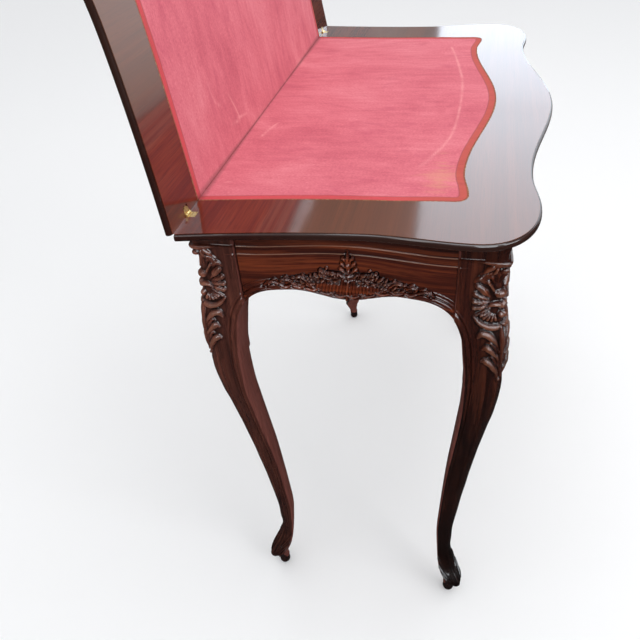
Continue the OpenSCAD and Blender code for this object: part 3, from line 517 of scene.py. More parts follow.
def leaf_mesh(name, thick, place, flip, lap):
    """A leaf with its moulded edge, the bed of its baize and a fold edge stepped by lap."""
    rim, bed = outline(TOP), outline(BAIZE)
    count = len(rim)
    levels = [(share, inset) for share, inset in EDGE_LEVELS if share * thick > 1.2 * STEP or share == 0]
    levels.insert(-1, (STEP / thick, 2.94))
    rings = [np.column_stack([drawn_in(rim, inset), np.full(count, -share * thick)]) for share, inset in levels]
    rings += [np.column_stack([bed, np.full(count, z)]) for z in (0.0, -STEP, -BED)]
    for ring in rings:
        ring[[0, -1], 1] += lap * min(-ring[0, 2] / STEP, 1)
    top = len(levels) - 1
    quads = grid_quads(len(rings), count)[:, ::-1]
    first = [k * count for k in range(len(rings))]
    last = [k * count + count - 1 for k in range(len(rings))]
    path = list(range(top)) + [top + 2, top + 3]
    band = [top - 1, top, top + 1, top + 2]
    fold = [[first[k] for k in path] + [last[k] for k in path[::-1]], [first[k] for k in band],
            [last[k] for k in band[::-1]]]
    flat = [row_of(0, count), row_of(len(rings) - 1, count)[::-1]]
    leaf = link(bpy.data.objects.new(name + "_whole", mesh_of(name, np.vstack(rings) * MM, quads, fold + flat)))
    # Housings of the two hinges.
    cutters = []
    for side in (-HINGE_X, HINGE_X):
        bpy.ops.mesh.primitive_cube_add(size=1)
        box = bpy.context.object
        box.scale = [size * MM for size in HINGE_HOUSING]
        box.location = (side * MM, -4.5 * MM, 0)
        bpy.ops.mesh.primitive_cylinder_add(vertices=40, radius=BARREL_R * MM, depth=BARREL_LONG * MM)
        barrel = bpy.context.object
        barrel.rotation_euler = (0, math.pi / 2, 0)
        barrel.location = (side * MM, 0, FOLD_GAP / 2 * MM)
        cutters += [box, barrel]
    for cutter in cutters:
        cut = leaf.modifiers.new("cut", "BOOLEAN")
        cut.operation, cut.solver, cut.object = "DIFFERENCE", "EXACT", cutter
    bpy.context.view_layer.update()
    done = bpy.data.meshes.new_from_object(leaf.evaluated_get(bpy.context.evaluated_depsgraph_get()))
    for used in cutters + [leaf]:
        bpy.data.objects.remove(used)
    local = points_of(done) / MM
    # edge is 1 on the moulded edge below the face, which the material paints dark as shade.
    store(done, grain=local * MM, edge=ramp(-local[:, 2], 0.15, 0.7))
    done.vertices.foreach_set("co", place(local).astype(np.float32).ravel())
    if flip:
        done.flip_normals()
    done.update()
    done.name = name
    return done


# A cloth clears its bed by CLOTH_CLEAR all round. Its creases rise CREASE_MOST, so that the closed cloths don't meet.
CLOTH_CLEAR, CREASE_MOST = 0.02, 0.2
CREASES = (
    # Path, height, half width, share of the pale colour painted as highlight along the crease, and cloth. The first
    # is a press mark that follows the front.
    ([(268, -268), (243, -274), (186, -284), (133, -292), (84, -298), (29, -300), (-29, -300), (-83, -298),
      (-132, -294), (-168, -286), (-193, -277), (-218, -268), (-240, -256)], 0.3, 1.8, 0.75, "both"),
    ([(-160, -22), (-146, -25), (-130, -28), (-112, -32), (-96, -37)], 0.6, 1.6, 0.9, "top_baize"),
    ([(-172, -73), (-166, -62), (-158, -44), (-154, -29), (-160, -18)], 0.8, 1.8, 0.6, "lid_baize"),
    ([(-118, -20), (-134, -26), (-154, -29), (-172, -28), (-194, -31)], 0.6, 1.6, 0.8, "lid_baize"),
    ([(-219, -112), (-220, -94), (-217, -79), (-208, -68), (-196, -63)], 0.3, 1.4, 0.5, "lid_baize"),
    ([(262, -12), (275, -20), (281, -34)], 0.4, 1.5, 0.5, "lid_baize"),
    ([(-310, -14), (-296, -19), (-284, -30)], 0.4, 1.6, 0.6, "top_baize"),
)


def baize_mesh(name, place, flip):
    """A thin sheet, close-meshed near its rim, with its creases and a soft nap."""
    rim = drawn_in(outline(BAIZE), CLOTH_CLEAR)
    count = len(rim)
    middle = np.column_stack([rim[:, 0] * 0.04, np.full(count, rim[0, 1])])
    shares = np.concatenate([np.linspace(0, 0.1, 12), np.linspace(0.106, 0.97, 150)])
    grid = np.vstack([rim + (middle - rim) * s for s in shares])
    reach = distance_to(grid[:, 0], grid[:, 1], rim[::2])
    fold = np.clip(1 - np.abs(grid[:, 1] - rim[0, 1]) / 0.3, 0, 1)
    sink, thick = 0.1, 0.48
    height = -sink - 0.12 * np.exp(-reach / 1.2) + 0.22 * fold
    raised, mark = np.zeros(len(grid)), np.zeros(len(grid))
    for line, high, wide, shade, where in CREASES:
        if where in ("both", name):
            path = spline(line, 8)
            away = distance_to(grid[:, 0], grid[:, 1], path)
            ends = np.minimum(*(np.hypot(*(grid - path[k]).T) for k in (0, -1)))
            fade = ramp(ends, 0, 14)
            raised = raised + high * fade * np.exp(-(away / wide) ** 2)
            mark = np.maximum(mark, shade * fade * np.exp(-(away / wide) ** 2))
    height = height + CREASE_MOST * np.tanh(raised / CREASE_MOST)
    ripple = np.sin(grid[:, 0] * 0.021 + 1.3) * np.sin(grid[:, 1] * 0.034) * 0.12 * ramp(reach, 4, 30)
    top = np.column_stack([grid, height + ripple * ramp(-grid[:, 1], 4, 30)])
    low = np.column_stack([rim, np.full(count, -sink - thick)])
    rows = len(shares) + 1
    quads = grid_quads(rows, count)[:, ::-1]
    first = [k * count for k in range(rows)]
    last = [k * count + count - 1 for k in range(rows)]
    mesh = mesh_of(name, place(np.vstack([low, top])), quads,
                   [first + last[::-1], row_of(0, count), row_of(rows - 1, count)[::-1]], flip)
    both, under = np.vstack([rim, grid]), np.zeros(count)
    # crease carries the painted highlight along the creases, and fold the painted shadow along the fold.
    store(mesh, grain=np.column_stack([both, np.zeros(len(both))]) * MM, rim=np.append(under, reach),
          crease=np.append(under, mark), fold=np.exp(-np.abs(both[:, 1]) / 1.3))
    return mesh


# Legs

def leg_levels():
    """Stations of the leg, as in the solid: share of the height, offset, half width, squareness, fan."""
    foot, ankle, knee = FOOT_W, ANKLE_W, KNEE_WIDE
    rows = [(PAD_H / UNDER, -PAD_IN, 0.27 * foot, 2.2, 1), (0.034, -0.06 * ANKLE_IN, 0.265 * foot, 2.3, 1),
            (0.042, 0.02 * ANKLE_IN, 0.32 * foot, 2.3, 0.92), (0.050, 0.12 * ANKLE_IN, 0.405 * foot, 2.4, 0.86),
            (0.060, 0.14 * ANKLE_IN, 0.44 * foot, 2.5, 0.87),
            (0.072, -0.07 * ANKLE_IN, 0.455 * foot, 2.6, 1.05), (0.092, -0.46 * ANKLE_IN, 0.395 * foot, 2.5, 1.35),
            (0.120, -0.78 * ANKLE_IN, 0.325 * foot, 2.4, 1.5), (0.150, -0.93 * ANKLE_IN, 0.42 * ankle, 2.3, 1.3),
            (0.180, -0.96 * ANKLE_IN, 0.47 * ankle, 2.3, 1.1), (0.225, -ANKLE_IN, 0.5 * ankle, 2.3, 1),
            (0.302, -0.82 * ANKLE_IN, 0.55 * ankle, 2.3, 1), (0.361, -0.66 * ANKLE_IN, 0.585 * ankle, 2.4, 1),
            (0.451, -0.34 * ANKLE_IN, 0.36 * knee, 2.5, 1), (0.513, -0.03 * ANKLE_IN, 0.405 * knee, 2.6, 1),
            (0.602, 0.57 * KNEE_OUT, 0.46 * knee, 2.7, 1), (0.660, 0.91 * KNEE_OUT, 0.49 * knee, 2.9, 1),
            (0.744, KNEE_OUT, 0.5 * knee, 3, 1), (0.800, 0.85 * KNEE_OUT, 0.51 * knee, 3, 1),
            (0.857, 0.45 * KNEE_OUT, 0.51 * knee, 3, 1), (0.930, 0, 0.93 * HALF_BLOCK, 3, 1)]
    return spline(rows, 12)


def block_inner(z):
    """Place of a block's inner side at a height: straight, then curving in to the knee."""
    s = np.linspace(KNEE_FIRST, 1, 60)
    return np.interp(z, (ARCH_Z - knee_fall(s))[::-1], (-HALF_BLOCK + (s - KNEE_FIRST) * KNEE_W)[::-1])


def leg_grid():
    """The leg without its carving, as rows of points round it, with the columns of one outer side."""
    table = leg_levels()
    z = np.concatenate([np.arange(PAD_H, 126, 1.5), np.arange(126, 500, 5.5), np.arange(500, 540, 2.5),
                        np.arange(540, UNDER, 0.85), [UNDER]])
    offset, half, square, fan = (np.interp(z, table[:, 0] * UNDER, table[:, k])[:, None] for k in (1, 2, 3, 4))
    zc = z[:, None]
    splay = SPLAY * (1 - zc / UNDER)
    shaft = ramp(zc, 130, 200)
    slim = 1 - 0.07 * shaft * ramp(zc, 600, 540)
    sides = []
    for shift in (splay, 0 * splay):
        high, low = offset + shift + half, offset + shift - slim * half
        high = np.where(zc > 690, np.minimum(high, HALF_BLOCK), high)
        high = np.where(zc > BLOCK_Z, np.maximum(high, HALF_BLOCK), high)
        low = np.where(zc > BLOCK_Z, np.minimum(np.where(zc < LEVEL_Z, low, 0), block_inner(zc)), low)
        sides.append(((high + low) / 2, (high - low) / 2))
    (cx, hx), (cy, hy) = sides
    outer, inner = 88, 18
    t_out, t_in = (np.arctan(np.linspace(1, -1, n + 1)[:-1]) for n in (outer, inner))
    angle = np.concatenate([t_out, -np.pi / 2 + t_in, -np.pi + t_in, np.pi / 2 + t_out])[None]
    cos, sin = np.cos(angle), np.sin(angle)
    block = ramp(zc, 560, 640)
    carved = ramp(zc, 575, 640) * ramp(zc, 702, 692)
    out_n = square + 1.6 * carved + 9 * ramp(zc, 713, 719)
    in_n = square + 2.2 * shaft + 9 * block
    n = np.where((cos > 0) & (sin > 0), out_n, in_n)
    r = (np.abs(cos) ** n + np.abs(sin) ** n) ** (-1 / n)
    u, v = r * cos, r * sin
    f = np.sqrt(fan)
    u, v = (u + v) / 2 / f + (u - v) / 2 * f, (u + v) / 2 / f - (u - v) / 2 * f
    grid = np.stack([cx + hx * u, cy + hy * v, zc + 0 * u], -1)
    return grid, z, outer


def leg_inner_edge(grid, first_corner):
    """Line that the beads follow on a face, as (distance outward, height)."""
    z, b = grid[:, first_corner, 2], grid[:, first_corner, 1]
    keep = z < 560
    s = np.linspace(1, 0, 80)
    curve = np.stack([-HALF_BLOCK + (s - KNEE_FIRST) * KNEE_W, ARCH_Z - knee_fall(s)], 1)
    curve = curve[curve[:, 1] > 556]
    return np.vstack([np.stack([b[keep], z[keep]], 1), curve])


KNEE = knee_relief()
FOOT = foot_relief()


def carved_leg():
    """A leg about the centre of its block, its outer corner toward +X and +Y, with the charts for its material
    and the first and last column of its two inner sides."""
    grid, z, face = leg_grid()
    rows, count = grid.shape[:2]
    step = np.linalg.norm(np.roll(grid, -1, 1) - grid, axis=-1)
    along = np.concatenate([np.zeros((rows, 1)), np.cumsum(step, 1)], 1)
    s = np.minimum(along[:, :-1], along[:, -1:] - along[:, :-1])
    index = np.arange(count)
    x_face, y_face = index <= face, index >= count - face
    on_face = (x_face | y_face)[None]
    zz = z[:, None] + 0 * s
    edge = np.zeros_like(s)
    for chosen, axis, corner in ((x_face, 1, face), (y_face, 0, count - face)):
        line = leg_inner_edge(grid[..., [1, 0, 2]] if axis == 0 else grid, corner)
        edge[:, chosen] = distance_to(grid[:, chosen, axis], zz[:, chosen], line)
    height = np.where(on_face, KNEE.at(s, zz), 0) * (zz > CARVED_Z)
    at_foot = ramp(zz, 128, 112) * ramp(zz, 26, 40) * on_face
    foot = FOOT.at(s, zz) * at_foot
    size = 0.75 + 0.25 * ramp(zz, 480, 640)
    beads = edge_moulding(edge / (0.60 + 0.40 * ramp(zz, 480, 620)), size) * ramp(zz, 130, 190)
    beads *= np.where(zz > 650, (edge < 14), 1) * ramp(zz, 726, 716)
    clear = ramp(np.where(zz > 560, KNEE.at(s, zz), 0), 0.9, 0.2) * ramp(s, 5, 9)
    reach = s / np.maximum(s + edge, 1e-6)
    reeds = (1.3 * hump(reach, 0.44, 0.06) - 0.7 * hump(reach, 0.36, 0.02)
             + 1.0 * hump(reach, 0.26, 0.04)) * ramp(zz, 150, 260) * ramp(zz, 600, 565)
    height = height + foot + np.where(on_face, beads * clear + reeds, 0)
    # The outer corner is drawn in under the cap, at the end of the carving and along the shaft.
    corner = np.exp(-(s / 29) ** 2) * on_face
    swell = np.interp(zz, [310, 350, 380, 400, 440, 470, 500, 520, 535, 548, 560, 580, 603, 618, 628, 642, 655, 667,
                           680, 692, 704, 716, 726, 731],
                      [0, -1.5, -3.6, -4.8, -5.5, -5.8, -4.3, -2.4, -1.5, -1.6, -3.4, -2.8, -2.6, -1.2, -0.4, -2.4,
                       -2.0, -3.0, -2.8, -3.6, -3.6, -3.6, -2.6, 0])
    outward = normals_of(grid)
    outward *= np.sign(np.sum(outward * (grid - grid.mean(1, keepdims=True)), axis=(1, 2), keepdims=True))
    moved = grid + outward * (height + swell * corner)[..., None]
    moved[-1, :, 2], moved[0, :, 2] = UNDER, PAD_H
    # Painted shade in the hollows of the carving and painted light on its raised places, with the dirt there; nothing
    # is painted above the cap.
    shade = 0.5 * height + 1.3 * np.where(on_face & (zz > CARVED_Z), KNEE.at(s, zz, KNEE.shade), 0)
    shade += FOOT.at(s, zz, FOOT.shade) * at_foot
    ribs = [np.where(on_face & (zz > CARVED_Z) & (zz < 731), KNEE.at(s, zz, v), 0) for v in (KNEE.phase, KNEE.ribbed)]
    return moved, (np.where(zz > 731, 0, shade), *ribs), (face, count - face)


def leg_piece(name, body, side, front, top, grid, charts, inner, material):
    """One of the four legs, from the points of carved_leg()."""
    rows, count = grid.shape[:2]
    p = grid.reshape(-1, 3).copy()
    squeezed = LEVEL_Z + (p[:, 2] - LEVEL_Z) * (top - LEVEL_Z) / (UNDER - LEVEL_Z)
    p[:, 2] = np.where(p[:, 2] > LEVEL_Z, squeezed, p[:, 2])
    flip = (side < 0) != bool(front)
    y = -(FRONT_LEG_Y + p[:, 1]) if front else -BACK_LEG_Y + p[:, 1]
    placed = np.column_stack([side * (LEG_X + p[:, 0]), y, p[:, 2]])
    quads = grid_quads(rows, count, closed=True)[:, ::-1]
    ends = [row_of(0, count), row_of(rows - 1, count)[::-1]]
    mesh = mesh_of(name, in_place(placed), quads, ends, flip)
    # The grain runs up the leg, and no two legs have the same.
    relief, ribs, ribbed = (chart.ravel() for chart in charts)
    store(mesh, grain=np.column_stack([p[:, 2], p[:, 0] + 40 * side, p[:, 1] + (90 if front else 0)]) * MM,
          relief=relief, ribs=ribs, ribbed=ribbed)
    add_piece(name + "_carved", mesh, body, material, name, 62)
    # The two inner sides are lighter and less polished than the outer ones.
    mesh.materials.append(SIDE_WOOD)
    column = np.tile(np.arange(count), rows - 1)
    chosen = np.concatenate([(column >= inner[0]) & (column < inner[1]), [False, False]])
    mesh.polygons.foreach_set("material_index", chosen.astype(np.int32))


# Aprons

def apron_piece(name, body, s, plan, normal, back, half, drop_w, top, relief, rows=110):
    """An apron over stations s along its length, with a relief on its face.

    plan, normal and back give for each station the face, its outward direction and the back."""
    low = low_edge(s, half, drop_w)
    # Rows follow the lower edge at first, then lie level, and crowd together at the two fillets.
    level = [np.arange(*part) for part in ((LEVEL_Z, 717.9, 1.0), (717.9, 721.0, 0.3), (721.0, 728.0, 1.0),
                                           (728.0, 731.4, 0.3), (731.4, top - 1, 1.5))]
    level = np.append(np.concatenate(level), top)[:, None]
    t = np.linspace(0, 1, rows + 1)[:-1, None]
    z = np.concatenate([low[None] + (LEVEL_Z - low[None]) * t, level + 0 * low[None]])
    line = np.linspace(-half - KNEE_SET, half + KNEE_SET, 420)
    edge = distance_to(s[None] + 0 * z, z, np.stack([line, low_edge(line, half, drop_w)], 1))
    carving = relief(s[None] + 0 * z, z)
    calm = ramp(np.abs(carving), 0.8, 0.2)
    # The beads stop where the carving in the middle begins.
    middle = 1.0 if relief is no_relief else ramp(np.abs(s), 84, 96)[None]
    height = edge_moulding(edge) * middle * calm + 0.5 * hump(edge, 1.0, 1.2) * (1 - middle) + carving
    # Three fascias, each a little behind the one below it, with a painted highlight along each arris.
    arris_highlight = 0
    for fillet in FILLETS:
        height -= FASCIA * ramp(z, fillet, fillet + FASCIA) * calm
        arris_highlight = arris_highlight + hump(z, fillet, 0.6) * calm
    height *= ramp(z, top, top - 0.5)
    face = np.concatenate([plan[None] + normal[None] * height[..., None], z[..., None]], -1)
    behind = np.stack([np.column_stack([back, np.full(len(s), top)]), np.column_stack([back, low])])
    grid = np.concatenate([face, behind])
    loops, count = grid.shape[:2]
    quads = grid_quads(loops, count)
    first, last = np.arange(count - 1), (loops - 1) * count + np.arange(count - 1)
    wrap = np.stack([last, last + 1, first + 1, first], 1)
    ends = [[k * count for k in range(loops)][::-1], [k * count + count - 1 for k in range(loops)]]
    cross = np.cross(grid[0, 1] - grid[0, 0], grid[1, 0] - grid[0, 0])
    flip = cross[:2] @ normal[0] < 0
    mesh = mesh_of(name, in_place(grid.reshape(-1, 3)), np.vstack([quads, wrap]), ends, flip)
    sx = np.broadcast_to(s[None], grid.shape[:2]).ravel()
    shade, ribs, ribbed = (relief(s[None] + 0 * z, z, chart)
                           for chart in (CARTOUCHE.shade, CARTOUCHE.phase, CARTOUCHE.ribbed))
    # Painted shade in the hollows and painted light on raised places, with the dirt there, and the painted highlight
    # along the arrises.
    shade = 0.5 * height + 1.1 * shade + 10 * arris_highlight
    shade, ribs, ribbed = (np.append(chart, np.zeros(2 * count)) for chart in (shade, ribs, ribbed))
    store(mesh, grain=np.column_stack([sx, grid[..., 2].ravel(), grid[..., 0].ravel() * 0.3]) * MM, relief=shade,
          ribs=ribs, ribbed=ribbed)
    add_piece(name + "_carved", mesh, body, PANEL_WOOD, name, 50)


def no_relief(s, z, values=None):
    return np.zeros_like(z)


CARTOUCHE = cartouche_relief()


def side_relief(s, z, values=None):
    off = np.abs(s + 4.0 * ramp(z, 655, 690))
    return CARTOUCHE.at(off, z + chart_rise(off), values)


def front_relief(s, z, values=None):
    off = np.abs(s) / 1.55
    return CARTOUCHE.at(off, z + chart_rise(off), values)


# Materials

class Socket:
    """An output of a node, with the sums and ramps that can be made of it."""

    def __init__(self, nodes, out):
        self.nodes, self.out = nodes, out

    def __add__(self, other):
        return self.nodes.math("ADD", self, other)

    def __sub__(self, other):
        return self.nodes.math("SUBTRACT", self, other)

    def __mul__(self, other):
        return self.nodes.math("MULTIPLY", self, other)

    def ramp(self, *stops):
        """A colour ramp of this value. Each stop is a place and a colour or a grey."""
        made = self.nodes.made("ValToRGB", {0: self})
        steps = made.out.node.color_ramp.elements
        while len(steps) < len(stops):
            steps.new(0.5)
        for step, (place, colour) in zip(steps, stops):
            step.position = place
            step.color = (*colour, 1) if isinstance(colour, tuple) else (colour, colour, colour, 1)
        return made


class Nodes:
    """Short names for the nodes of one tree."""

    def __init__(self, tree):
        self.tree = tree

    def plug(self, value, socket):
        """Links a socket to another, or sets it."""
        if isinstance(value, Socket):
            self.tree.links.new(value.out, socket)
        else:
            socket.default_value = (*value, 1) if socket.type == "RGBA" else value

    def made(self, kind, inputs, output=0, **values):
        """Adds a node, fills its inputs and gives one of its outputs."""
        node = self.tree.nodes.new("ShaderNode" + kind)
        for key, value in values.items():
            setattr(node, key, value)
        for key, value in inputs.items():
            self.plug(value, node.inputs[key])
        return Socket(self, node.outputs[output])

    def math(self, kind, a, b=0.0):
        return self.made("Math", {0: a, 1: b}, operation=kind)

    def mix(self, a, b, share, kind="MIX"):
        return self.made("Mix", {0: share, 6: a, 7: b}, 2, data_type="RGBA", blend_type=kind)

    def times(self, a, b):
        return self.mix(a, b, 1.0, "MULTIPLY")

    def part(self, vector, axis):
        return self.made("SeparateXYZ", {0: vector}, axis)

    def stored(self, name, output="Fac"):
        return self.made("Attribute", {}, output, attribute_name=name)

    def object_place(self):
        return self.made("TexCoord", {}, "Object")

    def noise(self, place, scale, detail=2, rough=0.55, distort=0.0):
        if not isinstance(scale, tuple):
            scale = (scale,) * 3
        scaled = self.made("Mapping", {"Vector": place, "Scale": scale})
        return self.made("TexNoise", {"Vector": scaled, "Scale": 1.0, "Detail": detail, "Roughness": rough,
                                      "Distortion": distort})

    def bump(self, height, strength, distance):
        return self.made("Bump", {"Strength": strength, "Distance": distance, "Height": height})


class Surface(Nodes):
    """The nodes of a new material."""

    def __init__(self, name, **values):
        self.material = bpy.data.materials.new(name)
        self.material.use_nodes = True
        super().__init__(self.material.node_tree)
        self.tree.nodes.clear()
        self.shader = self.tree.nodes.new("ShaderNodeBsdfPrincipled")
        out = self.tree.nodes.new("ShaderNodeOutputMaterial")
        self.tree.links.new(self.shader.outputs[0], out.inputs["Surface"])
        self.set(**values)

    def set(self, **values):
        for key, value in values.items():
            self.plug(value, self.shader.inputs[key.replace("_", " ")])


def wood(name, dark, mid, light, source="grain", coat=1.0, rough=0.38, coat_rough=0.05, carved=False, leaf=False,
         leg=0.0, streak=1.0):
    """Rosewood: streaks along the first axis of the stored grain, pores, and a polish over it."""
    n = Surface(name)
    place = n.stored("grain", "Vector") if source == "grain" else n.object_place()
    broad = n.noise(place, (1.5, 16 * streak, 16 * streak), 4, 0.55, 1.2)
    bands = n.noise(place, (1.1, 75 * streak, 75 * streak), 3, 0.5, 0.4)
    fine = n.noise(place, (7, 330, 330), 5, 0.65, 0.2)
    colour = (broad * 0.45 + bands * 0.35 + fine * 0.20).ramp((0.36, dark), (0.50, mid), (0.64, light))
    pores = n.noise(place, (22, 900, 900), 2, 0.5).ramp((0.36, 0.45), (0.47, 1.0))
    colour = n.mix(colour, pores, 0.6, "MULTIPLY")
    surface, polish = fine * 0.04, n.noise(place, (30, 60, 60)) * 0.03
    if carved:
        # Painted shade darkens the hollows, where dirt and old polish also lie, and painted light makes the ridges
        # lighter and tan, where they are also rubbed.
        relief = n.stored("relief")
        wear_and_painted_shade = (relief * 0.06 + 0.3).ramp((0.10, 0.10), (0.22, 0.36), (0.30, 0.82), (0.42, 1.15), (0.60, 1.8))
        ribs = n.math("SINE", n.stored("ribs")) * n.stored("ribbed")
        colour = n.times(colour, wear_and_painted_shade)
        # Painted shade and light across the gouge marks: each rib is darker in its trough and lighter on its crest.
        colour = n.times(colour, (ribs * 0.5 + 0.5).ramp((0.0, 0.55), (0.5, 1.0), (1.0, 1.25)))
        colour = n.mix(colour, (0.24, 0.125, 0.075), (relief * 0.1).ramp((0.22, 0.0), (0.55, 0.38), (0.95, 0.85)))
        marks = ribs * 0.11
        surface, polish = surface + marks, polish + marks
    if leaf:
        # The front half is mixed towards tan, and the moulded edge is painted dark as shade.
        front_tan_share = n.part(place, "Y") * -4.0 + broad * 0.5
        colour = n.mix(colour, (0.185, 0.105, 0.072), front_tan_share.ramp((0.62, 0.0), (0.80, 0.55)))
        colour = n.mix(colour, (0.016, 0.005, 0.004), n.stored("edge") * 0.9)
    if leg:
        # The leg is darker below the carved head and at its foot, and the top of the head is painted darker as the
        # shadow under the leaf.
        colour = n.times(colour, n.part(place, "X").ramp((0.06, 0.5 * leg), (0.24, leg), (0.44, leg), (0.66, 1.0),
                                                         (0.725, 1.0), (0.735, 0.6)))
    n.set(Base_Color=colour, Roughness=rough, Coat_Weight=coat, Coat_Roughness=coat_rough, Coat_IOR=1.5,
          Specular_IOR_Level=0.05, Normal=n.bump(surface, 1.0, MM), Coat_Normal=n.bump(polish, 1.0, MM))
    return n.material


def baize():
    """Pink cloth with clouds, streaks and specks, a red band sewn round it, pale press marks painted as highlight
    along its creases, and a painted shadow along its fold.
    """
    n = Surface("baize", Roughness=0.95, Sheen_Weight=0.06, Sheen_Roughness=0.5, Specular_IOR_Level=0.1)
    place = n.stored("grain", "Vector")
    x, y = n.part(place, "X"), n.part(place, "Y")
    cloud = n.noise(place, (9, 6, 5), 6, 0.65, 0.8)
    streaks = n.noise(place, (95, 16, 5), 6, 0.72, 0.5)
    speck = n.noise(place, (420, 300, 420), 3, 0.7)
    field = (cloud * 0.42 + streaks * 0.26 + speck * 0.32).ramp(
        (0.37, (0.53, 0.100, 0.140)), (0.50, (0.67, 0.160, 0.203)), (0.63, (0.765, 0.242, 0.276)))
    stains = n.noise(place, (26, 14, 26), 5, 0.7, 0.5).ramp((0.56, 0.0), (0.72, 0.6))
    field = n.mix(field, (0.53, 0.092, 0.145), stains)
    # Sun and hands have turned the front corners yellow.
    near = n.math("ABSOLUTE", x + 0.255) * 7.0 + n.math("ABSOLUTE", y + 0.288) * 16.0 + (streaks - 0.5) * 2.6
    field = n.mix(field, (0.70, 0.30, 0.21), near.ramp((0.0, 0.6), (0.45, 0.0)))
    # The band has a ragged inner edge with a seam, and a dark line with tan dots at the rim.
    ragged = n.stored("rim") * 0.02 + (cloud - 0.5) * 0.05
    band = n.mix((0.62, 0.060, 0.070), (0.50, 0.085, 0.055), (y * -1.0).ramp((0.22, 0.0), (0.30, 1.0)))
    band = n.mix(band, (0.36, 0.045, 0.030), streaks.ramp((0.46, 0.0), (0.66, 0.6)))
    colour = n.mix(field, band, ragged.ramp((0.0, 1.0), (0.19, 1.0), (0.24, 0.0)) * 0.85)
    colour = n.mix(colour, (0.22, 0.045, 0.040), ragged.ramp((0.19, 0.0), (0.215, 0.55), (0.24, 0.0)))
    colour = n.mix(colour, (0.26, 0.075, 0.035), ragged.ramp((0.0, 1.0), (0.030, 1.0), (0.055, 0.0)) * 0.9)
    tan = n.noise(place, 260, 1).ramp((0.50, 0.0), (0.58, 1.0))
    colour = n.mix(colour, (0.42, 0.27, 0.12), tan * ragged.ramp((0.0, 1.0), (0.035, 0.0)))
    patchy = n.noise(place, 30).ramp((0.40, 0.4), (0.6, 1.0))
    # Painted highlight: the creases are made pale where light catches them.
    colour = n.mix(colour, (0.83, 0.33, 0.34), n.stored("crease") * patchy)
    # Painted shadow in the fold between the two cloths.
    colour = n.mix(colour, (0.15, 0.030, 0.030), n.stored("fold") * 0.6)
    n.set(Base_Color=colour, Normal=n.bump(speck + streaks, 0.45, 0.0008))
    return n.material


def brass():
    n = Surface("brass", Metallic=1.0)
    tarnish = n.noise(n.object_place(), 300, 4, 0.6)
    n.set(Base_Color=tarnish.ramp((0.35, (0.42, 0.27, 0.09)), (0.6, (0.83, 0.62, 0.27))),
          Roughness=tarnish.ramp((0.3, 0.45), (0.7, 0.22)), Normal=n.bump(tarnish, 0.2, 0.0002))
    return n.material


def iron():
    n = Surface("iron", Metallic=0.85, Roughness=0.55)
    rust = n.noise(n.object_place(), 240, 4, 0.6)
    n.set(Base_Color=rust.ramp((0.35, (0.05, 0.035, 0.03)), (0.65, (0.16, 0.14, 0.13))))
    return n.material


def bare_wood():
    n = Surface("inner_wood", Roughness=0.7, Specular_IOR_Level=0.3)
    rings = n.noise(n.object_place(), (3, 40, 40), 5, 0.6, 0.6)
    fine = n.noise(n.object_place(), (25, 500, 500), 3, 0.6)
    colour = (rings * 0.7 + fine * 0.3).ramp(
        (0.32, (0.16, 0.085, 0.04)), (0.52, (0.30, 0.18, 0.09)), (0.72, (0.42, 0.28, 0.15)))
    n.set(Base_Color=colour, Normal=n.bump(fine, 0.3, 0.0005))
    return n.material


TOP_WOOD = wood("top_wood", (0.062, 0.009, 0.0026), (0.122, 0.0185, 0.0048), (0.19, 0.037, 0.010), coat_rough=0.09,
                leaf=True)
CARVED_WOOD = wood("carved_wood", (0.016, 0.0026, 0.0014), (0.052, 0.0088, 0.0040), (0.135, 0.030, 0.011),
                   rough=0.5, coat_rough=0.10, carved=True, leg=0.34, streak=1.6)
BACK_WOOD = wood("back_leg_wood", (0.036, 0.009, 0.0065), (0.104, 0.028, 0.018), (0.195, 0.058, 0.036),
                 rough=0.5, coat_rough=0.12, carved=True, leg=0.75, streak=1.6)
SIDE_WOOD = wood("leg_side_wood", (0.080, 0.023, 0.018), (0.132, 0.040, 0.031), (0.178, 0.057, 0.043),
                 coat=0.2, rough=0.5, streak=1.2)
PANEL_WOOD = wood("panel_wood", (0.014, 0.0026, 0.0013), (0.080, 0.0118, 0.0040), (0.27, 0.052, 0.0135),
                  rough=0.5, coat_rough=0.11, carved=True, streak=1.8)
PAD_WOOD = wood("pad_wood", (0.008, 0.004, 0.004), (0.02, 0.008, 0.006), (0.04, 0.015, 0.01), source="object")
BAIZE_CLOTH, BRASS, IRON, INNER_WOOD = baize(), brass(), iron(), bare_wood()


# Pieces

for leaf, thick, place, flip, body, lap in (("top_leaf", LEAF_T, on_top, False, "table", TOP_LAP),
                                            ("lid_leaf", LID_T, on_lid, True, "lid", LID_LAP)):
    mesh = leaf_mesh(leaf, thick, place, flip, lap)
    add_piece(leaf + "_moulded", mesh, body, TOP_WOOD, leaf, 24)

for cloth, place, flip, body, leaf in (("top_baize", on_top, False, "table", "top_leaf"),
                                       ("lid_baize", on_lid, True, "lid", "lid_leaf")):
    piece = add_piece(cloth + "_cloth", baize_mesh(cloth, place, flip), body, BAIZE_CLOTH, cloth, 50)
    area = area_of(drawn_in(outline(BAIZE), CLOTH_CLEAR)) * MM * MM

leg = carved_leg()
for name, body, side, front, top, material in (
        ("front_leg_left", "table", -1, True, UNDER, CARVED_WOOD),
        ("front_leg_right", "table", 1, True, UNDER, CARVED_WOOD),
        ("back_leg_left", "back_frame", -1, False, UNDER - BACK_DROP, BACK_WOOD),
        ("back_leg_right", "back_frame", 1, False, UNDER - BACK_DROP, BACK_WOOD)):
    leg_piece(name, body, side, front, top, *leg, material)

